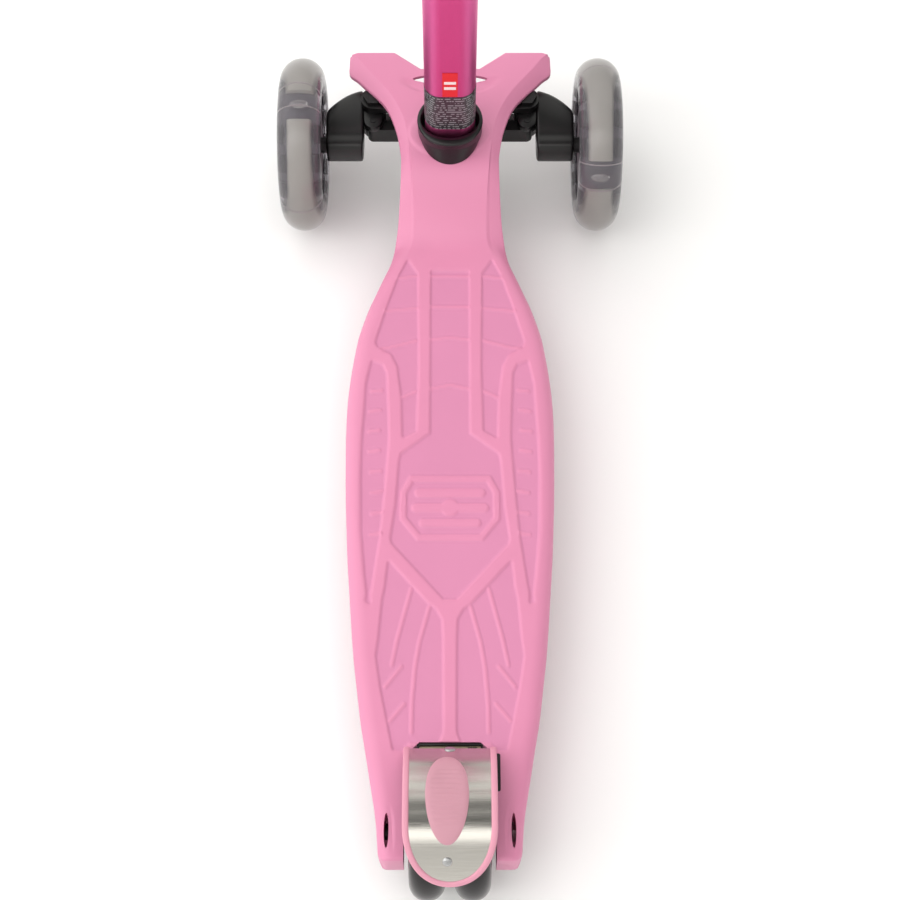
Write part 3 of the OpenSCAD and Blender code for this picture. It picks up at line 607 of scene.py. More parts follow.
def fit(piece: Piece, body: str, slot: str, *stands_for: str) -> Piece:
    """Mounts a finished piece on its body.

    Args:
        piece: The finished piece.
        body: The CAD body that it moves with.
        slot: The record's material slot; not used.
        *stands_for: CAD nodes that it replaces.

    Returns:
        The same piece.
    """
    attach(piece, body)
    if stands_for:
        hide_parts(*stands_for)
    LOG.info("fitted %s to %s, %d faces", piece.name, body, len(piece.data.polygons))
    return piece


# ---- Plane geometry -------------------------------------------------------


def smoothstep(t: Array) -> Array:
    """Rises gently from 0 to 1 as t does."""
    c = np.clip(t, 0, 1)
    return c * c * (3 - 2 * c)


def catmull(points: Outline, steps: int = 12) -> Array:
    """Draws a smooth curve through points.

    Args:
        points: The points to pass through.
        steps: Steps between two of them.

    Returns:
        The curve's points, one row each.
    """
    p = np.array(points, float)
    p = np.vstack([p[0], p, p[-1]])
    out = []
    for a, b, c, d in zip(p, p[1:], p[2:], p[3:]):
        for k in range(steps):
            u = k / steps
            out.append(0.5 * (2 * b + (c - a) * u + (2 * a - 5 * b + 4 * c - d) * u**2
                              + (3 * b - a - 3 * c + d) * u**3))
    out.append(p[-1])
    return np.array(out)


def inset(points: Outline, gap: float) -> Array:
    """Moves every side of an outline inwards.

    Args:
        points: Corners, going round.
        gap: Distance to move each side.

    Returns:
        The smaller outline's corners.
    """
    p = np.array(points, float)
    after = np.roll(p, -1, axis=0)
    turn = np.sign(np.sum(p[:, 0] * after[:, 1] - after[:, 0] * p[:, 1]))
    edge = (after - p) / np.linalg.norm(after - p, axis=1)[:, None]
    inward = turn * np.stack([-edge[:, 1], edge[:, 0]], axis=1)
    before = np.roll(inward, 1, axis=0)
    return p + gap * (before + inward) / (1 + np.sum(before * inward, axis=1))[:, None]


def path_distance(points: Array, x: Array, y: Array, closed: bool) -> Array:
    """Distance from each place to a polyline.

    Args:
        points: The polyline's corners.
        x: X of each place.
        y: Y of each place.
        closed: Whether the last corner joins the first.

    Returns:
        The distances.
    """
    ends = np.roll(points, -1, axis=0) if closed else points[1:]
    nearest = np.full(x.shape, np.inf)
    for (ax, ay), (bx, by) in zip(points, ends):
        ux, uy = bx - ax, by - ay
        t = np.clip(((x - ax) * ux + (y - ay) * uy) / (ux * ux + uy * uy), 0, 1)
        nearest = np.minimum(nearest, np.hypot(x - ax - t * ux, y - ay - t * uy))
    return nearest


def outline_distance(points: Array, x: Array, y: Array) -> Array:
    """Distance from each place to a closed outline, below zero inside it.

    Args:
        points: The outline's corners.
        x: X of each place.
        y: Y of each place.

    Returns:
        The signed distances.
    """
    inside = np.zeros(x.shape, bool)
    for (ax, ay), (bx, by) in zip(points, np.roll(points, -1, axis=0)):
        if ay != by:
            crosses = ((ay > y) != (by > y)) & (x < (bx - ax) * (y - ay) / (by - ay) + ax)
            inside ^= crosses
    distance = path_distance(points, x, y, closed=True)
    return np.where(inside, -distance, distance)


# ---- Deck -----------------------------------------------------------------


@dataclass
class DeckForm:
    """Form of the moulded deck: its outline, its height and the relief pressed into its top.

    All sizes are in millimetres; x is always taken on one side, since the deck is the same on both.
    """

    tail: float = -267.0
    front: float = 290.0
    foot: float = 61.0
    head: float = 90.0
    bottom: float = 35.0
    wing_under: float = 83.0
    skirt_wall: float = 3.5
    skin: float = 4.0
    bay_half: float = 27.7
    bay_front: float = -201.0
    slot_y: float = 267.0
    stem_y: float = 221.7
    slit_x: float = 38.0
    slit_y: float = -255.0
    badge_y: float = -46.5
    boss_radius: float = 5.0
    grip_bars: int = 8
    half_widths: Outline = (
        (-292, 34.0), (-284, 38.4), (-276, 40.6), (-267, 43.0), (-247, 44.8), (-228, 47.9), (-208, 51.3),
        (-188, 54.8), (-168, 57.4), (-147, 60.0), (-126, 61.9), (-105, 63.5), (-83, 65.2), (-61, 66.4),
        (-39, 67.4), (-16, 68.0), (7, 68.3), (30, 67.8), (50, 66.0), (66, 63.8), (79, 61.6), (91, 58.3),
        (103, 54.4), (113, 50.4), (125, 45.6), (136, 41.0), (146, 38.4), (155, 36.9), (164, 35.6),
        (177, 34.5), (190, 33.8), (203, 33.6), (212, 34.5), (221, 36.0), (230, 38.3), (239.5, 41.4),
        (246, 44.6), (251, 48.0), (256, 52.4), (262, 58.0), (268, 63.4), (276, 70.2), (283, 70.6),
        (290, 70.2))
    creases: Outline = (
        (130, 25.5), (150, 25.2), (176, 25.3), (197, 26.7), (208, 27.8), (223, 29.7), (236, 32.6),
        (250, 38.8), (261, 46.1), (272, 55.2), (283, 63.4), (290, 69.0))
    side_panel: Outline = (
        (29, 140), (36, 125), (43.6, 101), (51, 74), (49, 69), (40, 64), (36, 55.5), (33, 32), (32, 1),
        (21, 7.5), (20, 55), (21, 127))
    middle_panel: Outline = (
        (-14, 130), (14, 130), (14, 7), (33, -8), (34, -13), (36, -44), (39, -68), (38, -72), (4.7, -110),
        (-4.7, -110), (-38, -72), (-39, -68), (-36, -44), (-34, -13), (-33, -8), (-14, 7))
    leaf_panel: Outline = (
        (53, 61.5), (56.6, 43), (57.5, 21), (58.5, 2), (58.8, -24), (57.8, -63), (55, -92), (52.6, -112),
        (50.5, -113), (48.4, -101), (44, -68), (42, -44), (40, -14), (39, 2), (39.4, 16), (41, 51),
        (44, 58))
    rear_panel: Outline = (
        (40, -80), (42, -101), (43.6, -109), (45.7, -136), (47, -146), (44, -166), (35.6, -207),
        (29, -207.5), (24, -202.5), (6, -202.5), (3.4, -196), (3.1, -190), (3.4, -136), (4, -122),
        (7.8, -115), (13, -111))
    lines: Sequence[Outline] = (
        ((-12.5, 125), (12.5, 125)), ((-12.5, 101), (12.5, 101)), ((-12.5, 76), (0, 77.5), (12.5, 76)),
        ((-12.5, 39), (0, 42), (12.5, 39)), ((23, 125), (35, 123.5)), ((22, 100), (43.5, 98)),
        ((23, 75), (41, 70), (47, 69)), ((23, 37), (31, 33)), ((24.5, -102), (33, -136), (36, -152)),
        ((13, -114), (19, -137), (21.6, -153), (23.3, -175), (23.6, -195)), ((30, -153), (40, -166)),
        ((28, -177), (37, -188)))
    badge: Outline = (
        (-25, -26), (25, -26), (30, -36), (30, -54), (20, -67), (-20, -67), (-30, -54), (-30, -36))
    bars: Sequence[Outline] = (
        ((-20, -36), (20, -36)), ((-22, -46.5), (22, -46.5)), ((-17, -57), (17, -57)))
    panel_depth: float = 1.1
    wall: float = 1.8
    line_height: float = 0.6
    panels: list[Array] = field(init=False)
    outline_curve: Array = field(init=False)
    crease_curve: Array = field(init=False)

    def __post_init__(self) -> None:
        """Prepares the rounded panels and the smooth outline curves."""
        self.panels = [inset(p, 2.0) for p in
                       (self.side_panel, self.middle_panel, self.leaf_panel, self.rear_panel)]
        self.outline_curve = catmull([(h, y) for y, h in self.half_widths])
        self.crease_curve = catmull([(h, y) for y, h in self.creases])

    def half(self, y: Array) -> Array:
        """Half width of the deck at each y."""
        return np.interp(y, self.outline_curve[:, 1], self.outline_curve[:, 0])

    def crease(self, y: Array) -> Array:
        """Half width of the flat top inside its sloping border, along the neck and the wings."""
        return np.interp(y, self.crease_curve[:, 1], self.crease_curve[:, 0])

    def level(self, y: Array, x: Array) -> Array:
        """Height of the flat top: the footplate, the ramp up to the nose and the nose."""
        start = 143 + 0.0045 * x**2
        return self.foot + (self.head - self.foot) * smoothstep((y - start) / (203 - start))

    def relief(self, x: Array, y: Array) -> tuple[Array, Array]:
        """Depth pressed into the top, and how far each place belongs to a panel floor.

        Args:
            x: Distance from the middle line.
            y: Distance forward.

        Returns:
            The height to add, and the floor mask from 0 to 1.
        """
        height = np.zeros(x.shape)
        mask = np.zeros(x.shape)
        reach = (y > -212) & (y < 145)
        px, py = x[reach], y[reach]
        drop = np.zeros(px.shape)
        for panel in self.panels:
            gap = outline_distance(panel, px, py) - 2.0
            drop = np.maximum(drop, smoothstep(-gap / self.wall))
        raised = np.zeros(px.shape)
        for path in self.lines:
            gap = path_distance(np.array(path), px, py, closed=False) - 0.7
            raised = np.maximum(raised, smoothstep(1 - gap / 0.9))
        gap = path_distance(np.array(self.badge, float), px, py, closed=True) - 1.4
        raised = np.maximum(raised, 1.5 * smoothstep(1 - gap / 1.2))
        for path in self.bars:
            gap = path_distance(np.array(path), px, py, closed=False) - 2.2
            raised = np.maximum(raised, 1.5 * smoothstep(1 - gap / 1.2))
        boss = np.hypot(px, py - self.badge_y) - self.boss_radius
        raised = np.maximum(raised, 1.5 * smoothstep(1 - boss / 1.4))
        for k in range(self.grip_bars):
            y_bar = 38 - 14.6 * k
            middle = 48.4 + 1.4 * math.sin(k * 0.8)
            bar = np.array(((middle - 3.2, y_bar), (middle + 3.2, y_bar - 0.9)))
            gap = path_distance(bar, px, py, closed=False) - 0.8
            raised = np.maximum(raised, smoothstep(1 - gap / 0.9))
        height[reach] = -self.panel_depth * drop + self.line_height * raised
        mask[reach] = drop * (1 - np.clip(raised, 0, 1))
        slit = np.hypot((x - self.slit_x) / 4.6, (y - self.slit_y) / 14.5)
        height -= 0.9 * smoothstep((1.25 - slit) / 0.8)
        slot = np.hypot(x / 30, (y - self.slot_y) / 7.6)
        height -= 1.3 * smoothstep((1.25 - slot) / 0.35)
        stem = np.hypot(x / 26.5, (y - self.stem_y) / 18.5)
        height += smoothstep((1.12 - stem) / 0.10)
        return height, mask


@dataclass
class DeckBoard:
    """Moulded deck: one skin that carries the relief, its skirt, the wings and the two rear tines."""

    form: DeckForm = field(default_factory=DeckForm)
    top_cells: int = 150
    side_cells: int = 9
    skirt_cells: int = 3
    end_round: float = 1.8

    def stations(self) -> Array:
        """Places of the section cuts along Y, closest over the relief and at both ends."""
        f = self.form
        return np.concatenate([
            f.tail + self.end_round * (1 - np.cos(np.linspace(0, math.pi / 2, 5))),
            np.linspace(f.tail + 3.5, -208, 26), np.linspace(-206.8, 148, 330),
            np.linspace(149.5, 209, 34), np.linspace(211, f.front - 3, 42),
            f.front - self.end_round * (1 - np.sin(np.linspace(0, math.pi / 2, 5)))])

    def border(self, y: Array) -> tuple[Array, Array, Array]:
        """Form of the sloping border along the deck.

        Args:
            y: Place of each section.

        Returns:
            Its width, its drop, and how far it is a flat slope and not a round edge.
        """
        f = self.form
        blend = smoothstep((y - 136) / 22)
        width = (1 - blend) * 9.5 + blend * np.maximum(f.half(y) - f.crease(y), 1.2)
        wing = 1.4 + 0.35 * width
        neck = 4.2 - 0.8 * smoothstep((y - 205) / 20)
        slope = neck + (np.minimum(wing, 8.5) - neck) * smoothstep((y - 215) / 28)
        drop = (1 - blend) * 6.2 + blend * slope
        return width, drop, blend

    def place(self, column: Array, row: Array, rows: Array) -> Array:
        """Puts the grid's points on the deck: right skirt, top, left skirt, then back along the inside.

        Args:
            column: Number of each point round the section.
            row: Number of each point's section.
            rows: Places of the sections along Y.

        Returns:
            X, Y, Z of each point.
        """
        f = self.form
        half_count = self.top_cells // 2 + self.side_cells + self.skirt_cells
        outer = 2 * half_count
        inner = column > outer
        k = np.where(inner, 2 * outer + 1 - column, column)
        side = np.where(k < half_count, 1.0, -1.0)
        j = np.abs(k - half_count)
        last = len(rows) - 1
        y = rows[np.clip(row - 1, 0, last)]
        flat_end = (row == 0) | (row == last + 2)
        half = f.half(y)
        width, drop, blend = self.border(y)
        flat = half - width
        t = np.clip(j / (self.top_cells / 2), 0, 1)
        x = flat * t
        level = f.level(y, x)
        z = level + f.relief(x, y)[0]
        e = np.clip((j - self.top_cells / 2) / self.side_cells, 0, 1)
        in_side = j > self.top_cells / 2
        level_edge = f.level(y, flat)
        round_x = flat + width * np.sin(e * math.pi / 2)
        round_z = level_edge - drop * (1 - np.cos(e * math.pi / 2))
        cut = np.clip(e / 0.86, 0, 1)
        roll = np.clip((e - 0.86) / 0.14, 0, 1)
        step = 0.7 * (1 - smoothstep((y - 200) / 16)) * np.clip(e * 9, 0, 1)
        slope_x = flat + (width - 0.9) * cut + 0.9 * np.sin(roll * math.pi / 2)
        slope_z = (level_edge - step - (drop - step) * (0.93 * cut**1.25) - 0.07 * drop
                   - 0.6 * (1 - np.cos(roll * math.pi / 2)))
        side_x = (1 - blend) * round_x + blend * slope_x
        side_z = (1 - blend) * round_z + blend * np.where(e > 0, slope_z, level_edge)
        x = np.where(in_side, side_x, x)
        z = np.where(in_side, side_z, z)
        s = np.clip((j - self.top_cells / 2 - self.side_cells) / self.skirt_cells, 0, 1)
        in_skirt = j > self.top_cells / 2 + self.side_cells
        rim = f.bottom + (f.wing_under - f.bottom) * smoothstep((y - 176) / 34)
        edge_z = (1 - blend) * (level_edge - drop) + blend * (level_edge - drop - 0.6)
        rim = np.minimum(rim, edge_z - 3.0)
        draft = 2.2 * (1 - smoothstep((y - 176) / 34))
        x = np.where(in_skirt, half - draft * s, x)
        z = np.where(in_skirt, edge_z + (rim - edge_z) * s, z)
        solid = (y < -190) | (y > f.front - 4)
        wall = np.clip(half - draft - f.skirt_wall, 2, None)
        skin = f.skin - 2.4 * smoothstep((y - 240) / 10) * (1 - smoothstep((np.abs(x) - 26) / 6))
        roof = f.level(y, np.minimum(np.abs(x), wall)) - skin - f.panel_depth
        roof = np.where(solid, rim, np.maximum(roof, rim))
        in_x = np.minimum(x, wall)
        in_z = np.where(in_skirt, roof + (rim - roof) * s, roof)
        in_z = np.where(in_side & ~in_skirt, roof, in_z)
        x_all = np.where(inner, in_x, x)
        z_all = np.where(inner, in_z, z)
        from_end = np.minimum(y - f.tail, f.front - y)
        end = self.end_round
        rounding = end - np.sqrt(np.maximum(end**2 - np.maximum(end - from_end, 0) ** 2, 0))
        z_all = np.where(inner, z_all, np.maximum(z_all - rounding, rim))
        middle_z = (np.where(in_skirt, rim, z - rounding) + in_z) / 2
        z_all = np.where(flat_end, middle_z, z_all)
        x_all = np.where(flat_end, (x + in_x) / 2, x_all)
        stretch = np.clip((y - 248) / (f.front - 248), 0, 1)
        ax = np.abs(x_all)
        notch = np.interp(ax, [0, 20.7, 39, 65, 71], [-14, -14, 0, 0, -2.5])
        y_all = y + stretch * notch
        taper = np.clip((f.tail + 18 - y) / 18, 0, 1)
        y_all = y_all - taper * np.interp(ax, [0, 37.5, 39.5, 41, 42.5, 44], [6.0, 6.0, 5.7, 4.8, 2.8, -2.0])
        return np.stack([x_all * side, y_all, z_all], axis=1)

    def build(self) -> Piece:
        """Builds the deck.

        Returns:
            The deck, cut out for the brake, the stem, the carrying slot and the tines' slots.
        """
        f = self.form
        rows = self.stations()
        outer = 2 * (self.top_cells // 2 + self.side_cells + self.skirt_cells)
        columns = 2 * outer + 2
        piece = wrapped_grid(columns, len(rows) + 1, lambda c, r: self.place(c % columns, r, rows), 0.02)
        cut_out(piece, self.openings())
        single_out(piece)
        count = len(piece.data.vertices)
        places = np.empty(count * 3)
        piece.data.vertices.foreach_get("co", places)
        places = places.reshape(-1, 3) / MM
        height, mask = f.relief(np.abs(places[:, 0]), places[:, 1])
        on_top = places[:, 2] > f.level(places[:, 1], np.abs(places[:, 0])) - 2.4
        layer = piece.data.attributes.new("panel_floor", "FLOAT", "POINT")
        layer.data.foreach_set("value", (mask * on_top).astype(np.float32))
        return settle(piece, "deck_moulding", "deck", 40)

    def openings(self) -> list[Piece]:
        """Shapes cut through the deck: the brake bay, the stem's well, the carrying slot and the slits."""
        f = self.form
        side = [(f.bay_half, -300), (f.bay_half, -213), (f.bay_half - 1.8, -208.5), (22.5, f.bay_front - 4),
                (18.5, f.bay_front)]
        bay = prism(side + [(-x, y) for x, y in side[::-1]], 20, 80)
        turn = np.linspace(0, 2 * math.pi, 64, endpoint=False)
        well = prism([(21.2 * math.cos(a), f.stem_y + 13.7 * math.sin(a)) for a in turn], 60, 110)
        lens = [(26 * math.cos(a), f.slot_y + 3.75 * math.sin(a) * (1 - 0.25 * abs(math.cos(a)) ** 6))
                for a in turn]
        carry = prism(lens, 60, 110)
        slits = [prism([(side.value * f.slit_x + 1.5 * math.cos(a), f.slit_y + 10.5 * math.sin(a))
                        for a in turn[::2]], 44, 80) for side in Side]
        return [bay, well, carry, *slits]


@dataclass
class DeckRibs:
    """Ribs under the deck: across and along, as the moulding tool leaves them."""

    across: Sequence[float] = (-104, -16, 72)
    along: Sequence[float] = (-24, 24)
    half_wall: float = 1.5

    def build(self) -> Piece:
        """Builds the ribs.

        Returns:
            All ribs as one piece.
        """
        form = DeckForm()
        parts = []
        for y in self.across:
            half = float(form.half(np.array(y))) - 5
            parts.append(box((-half, y - self.half_wall, 35.2), (half, y + self.half_wall, 57), 0.5))
        for x in self.along:
            parts.append(box((x - self.half_wall, -190, 35.2), (x + self.half_wall, 150, 57), 0.5))
        return settle(joined(parts), "deck_ribs", "deck")


@dataclass
class DeckAssembly:
    """Deck board with its ribs, the beam below the nose, and what is bolted to them."""

    cheek: Corners = ((26.4, -232, 50), (30.8, -208, 61.5))
    wall: Corners = ((-20.5, -202.6, 41.5), (20.5, -201.2, 59.0))
    strip: Corners = ((-18.7, -204.4, 52.5), (18.7, -202.7, 56.5))
    screw_places: Outline = ((-22, 199), (22, 199), (-26, 265), (26, 265))

    def build(self) -> None:
        """Builds and mounts the deck body."""
        fit(DeckBoard().build(), "deck", "deck_plastic", "deck_board")
        fit(DeckRibs().build(), "deck", "deck_plastic")
        fit(settle(box(*self.cheek, 1.4), "bay_cheek", "dark_black"), "deck", "black_plastic")
        dress(("axle_beam",), "black", 0.8)
        fit(self.screws(), "deck", "bolt_steel", "beam_bolts")
        dress(("kingpin_bolts", "kingpin_nuts", "rear_axle"), "black_steel", 0.2)
        dress(("rear_axle_nut", "rear_spacers", "brake_hinge_pin", "brake_spring"), "zinc", 0.2)
        dress(("lean_bearings",), "bronze", 0.2)
        dress(("lean_bumper_left", "lean_bumper_right"), "bumper", 0.5)
        fit(settle(box(*self.wall, 0.3), "bay_wall", "dark_black"), "deck", "black_plastic")
        fit(settle(box(*self.strip, 0.3), "bay_strip", "strip"), "deck", "strip", "bay_bracket")

    def screws(self) -> Piece:
        """Builds the four screws that hold the beam, with hexagon heads below it."""
        parts = []
        for x, y in self.screw_places:
            for sides, radius, low, high in ((6, 3.6, 40, 43), (24, 2.0, 42, 79)):
                deselect()
                bpy.ops.mesh.primitive_cylinder_add(
                    vertices=sides, radius=radius * MM, depth=(high - low) * MM,
                    location=(x * MM, y * MM, (low + high) / 2 * MM))
                bpy.ops.object.transform_apply(location=True, rotation=True, scale=True)
                parts.append(bpy.context.object)
        return settle(joined(parts), "beam_screws", "zinc")


# ---- Steering head and handlebar ------------------------------------------


@dataclass
class StemFrame:
    """Place and slope of the stem, and the oval section of its lower tube, in millimetres."""

    foot_y: float = 222.3
    foot_z: float = 79.0
    slope: float = 5.0
    flat_half: float = 6.3
    round_radius: float = 10.7

    def lift(self, local: Array) -> Array:
        """Takes points from the stem's own frame to the scooter's.

        Args:
            local: X, Y, Z along the stem, one row each.

        Returns:
            The same points in the scooter's frame.
        """
        c, s = math.cos(math.radians(self.slope)), math.sin(math.radians(self.slope))
        x, y, z = local[:, 0], local[:, 1], local[:, 2]
        return np.stack([x, self.foot_y + y * c - z * s, self.foot_z + y * s + z * c], axis=1)

    def around(self, reach: Array, proud: float) -> tuple[Array, Array]:
        """Follows the tube's back from its middle line round to the sides.

        Args:
            reach: Distance along the skin, from the middle of the back.
            proud: Height above the skin.

        Returns:
            X and Y in the stem's frame.
        """
        bend = np.clip((np.abs(reach) - self.flat_half) / self.round_radius, 0, None)
        r = self.round_radius + proud
        x = np.sign(reach) * (np.minimum(np.abs(reach), self.flat_half) + r * np.sin(bend))
        return x, -r * np.cos(bend)


@dataclass
class SteeringHead:
    """Collar, lower tube with its label, lean shaft, lever and the clamp at the tube's top."""

    stem: StemFrame = field(default_factory=StemFrame)
    collar_profile: Sequence[tuple[float, float, float]] = (
        (17.6, 11.4, 20.0), (18.6, 12.6, 21.5), (19.2, 13.2, 26.5), (19.5, 13.7, 28.9), (20.2, 15.2, 29.9),
        (21.5, 19.3, 29.9), (22.2, 20.2, 29.2), (22.3, 20.4, 28.0), (22.2, 20.3, 26.6), (21.8, 19.9, 26.1),
        (21.6, 20.2, 24.0), (21.4, 22.0, 19.0), (21.0, 24.6, 14.0), (20.8, 25.2, 12.6), (19.0, 20.0, 12.4),
        (18.5, 14.5, 15.0))

    def build(self) -> None:
        """Builds and mounts the steering head."""
        fit(self.collar(), "steering_head", "black_plastic", "collar_ring")
        fit(self.film("stem_film", "label", 24.6, 35.4, 76.2, 0.16), "steering_head", "label_film",
            "stem_label")
        fit(self.film("stem_badge", "badge", 5.0, 77.0, 106.0, 0.18), "steering_head", "label_film")
        bars = joined([self.film("bar", "badge_bar", 3.9, low, low + 3.2, 0.26) for low in (86.0, 92.4)])
        bars.name = "stem_badge_bars"
        fit(bars, "steering_head", "label_film")
        dress(("steering_socket",), "black", 0.8)
        dress(("lower_tube",), "anodised", 0.4)
        dress(("stem_plug", "clamp_collar"), "dark_black", 0.6)
        dress(("lean_shaft", "stem_bolts", "clamp_pin", "clamp_nut"), "zinc", 0.2)
        dress(("steering_lever",), "black_steel", 0.4)

    def collar(self) -> Piece:
        """Builds the collar: rim, funnel round the tube and the skirt over the deck's well."""
        profile = np.array(self.collar_profile)
        count = len(profile)
        steps = 96

        def place(column: Array, row: Array) -> Array:
            half_width, depth, level = profile[row % count].T
            turn = column * 2 * math.pi / steps
            sag = np.where((row % count > 10) & (row % count < 15), 2.6 * np.cos(turn) ** 2, 0)
            x = half_width * np.cos(turn)
            y = depth * np.sin(turn)
            return self.stem.lift(np.stack([x, y, level + sag], axis=1))

        piece = wrapped_grid(steps, count, place)
        return settle(piece, "collar_funnel", "black", 50)

    def film(self, name: str, look: str, reach: float, low: float, high: float, proud: float) -> Piece:
        """Wraps one thin printed film round the back of the tube.

        Args:
            name: Its name.
            look: Its finish.
            reach: Half its width along the skin.
            low: Its lower edge along the stem.
            high: Its upper edge.
            proud: Its height above the skin.

        Returns:
            The film.
        """
        columns, rows = 48, 4

        def place(column: Array, row: Array) -> Array:
            x, y = self.stem.around((column / columns * 2 - 1) * reach, proud)
            return self.stem.lift(np.stack([x, y, low + (high - low) * row / rows], axis=1))

        piece = wrapped_grid(columns, rows, place)
        apply_modifier(piece, "SOLIDIFY", thickness=0.12 * MM, offset=0)
        return settle(piece, name, look)


@dataclass
class Handlebar:
    """Sliding T-bar: upper tube, tee, cross tube, ribbed grips and end caps."""

    bar_y: float = 170.8
    bar_z: float = 668.0
    bar_radius: float = 11.1
    grip_in: float = 41.0
    grip_length: float = 104.0
    grip_radius: float = 15.5
    flange: float = 19.0
    rib_pitch: float = 4.0

    def build(self) -> None:
        """Builds and mounts the handlebar and the clamp's lever."""
        for side in Side:
            fit(self.grip(side), "handlebar", "grip_rubber", f"grip_{side.word}")
        dress(("upper_tube", "handlebar_tube"), "bare", 0.3)
        dress(("bar_tee", "bar_cap_left", "bar_cap_right"), "dark_black", 0.8)
        dress(("clamp_lever",), "black", 0.6)

    def grip(self, side: Side) -> Piece:
        """Builds one ribbed grip with its inner and outer flanges."""
        low, high, inner = self.grip_in, self.grip_in + self.grip_length, self.bar_radius + 0.05
        shape = [(low, inner), (low, self.flange - 1.2), (low + 1.2, self.flange), (low + 3.0, self.flange),
                 (low + 4.2, self.flange - 1.2), (low + 5.5, self.grip_radius)]
        count = int((self.grip_length - 14) / self.rib_pitch)
        for k in range(count):
            start = low + 7 + k * self.rib_pitch
            shape += [(start, self.grip_radius), (start + 0.6, self.grip_radius - 1.0),
                      (start + 1.6, self.grip_radius - 1.0), (start + 2.2, self.grip_radius)]
        shape += [(high - 3.4, self.grip_radius), (high - 2.4, self.grip_radius + 1.4),
                  (high - 1.2, self.grip_radius + 1.6), (high - 0.2, self.grip_radius + 0.6), (high, inner)]
        shape = [(side.value * x, r) for x, r in shape]
        piece = turned(shape, Vector((0, self.bar_y, self.bar_z)) * MM, 64)
        return settle(piece, f"ribbed_grip_{side.word}", "grip", 30)


# ---- Front wheels and knuckles --------------------------------------------


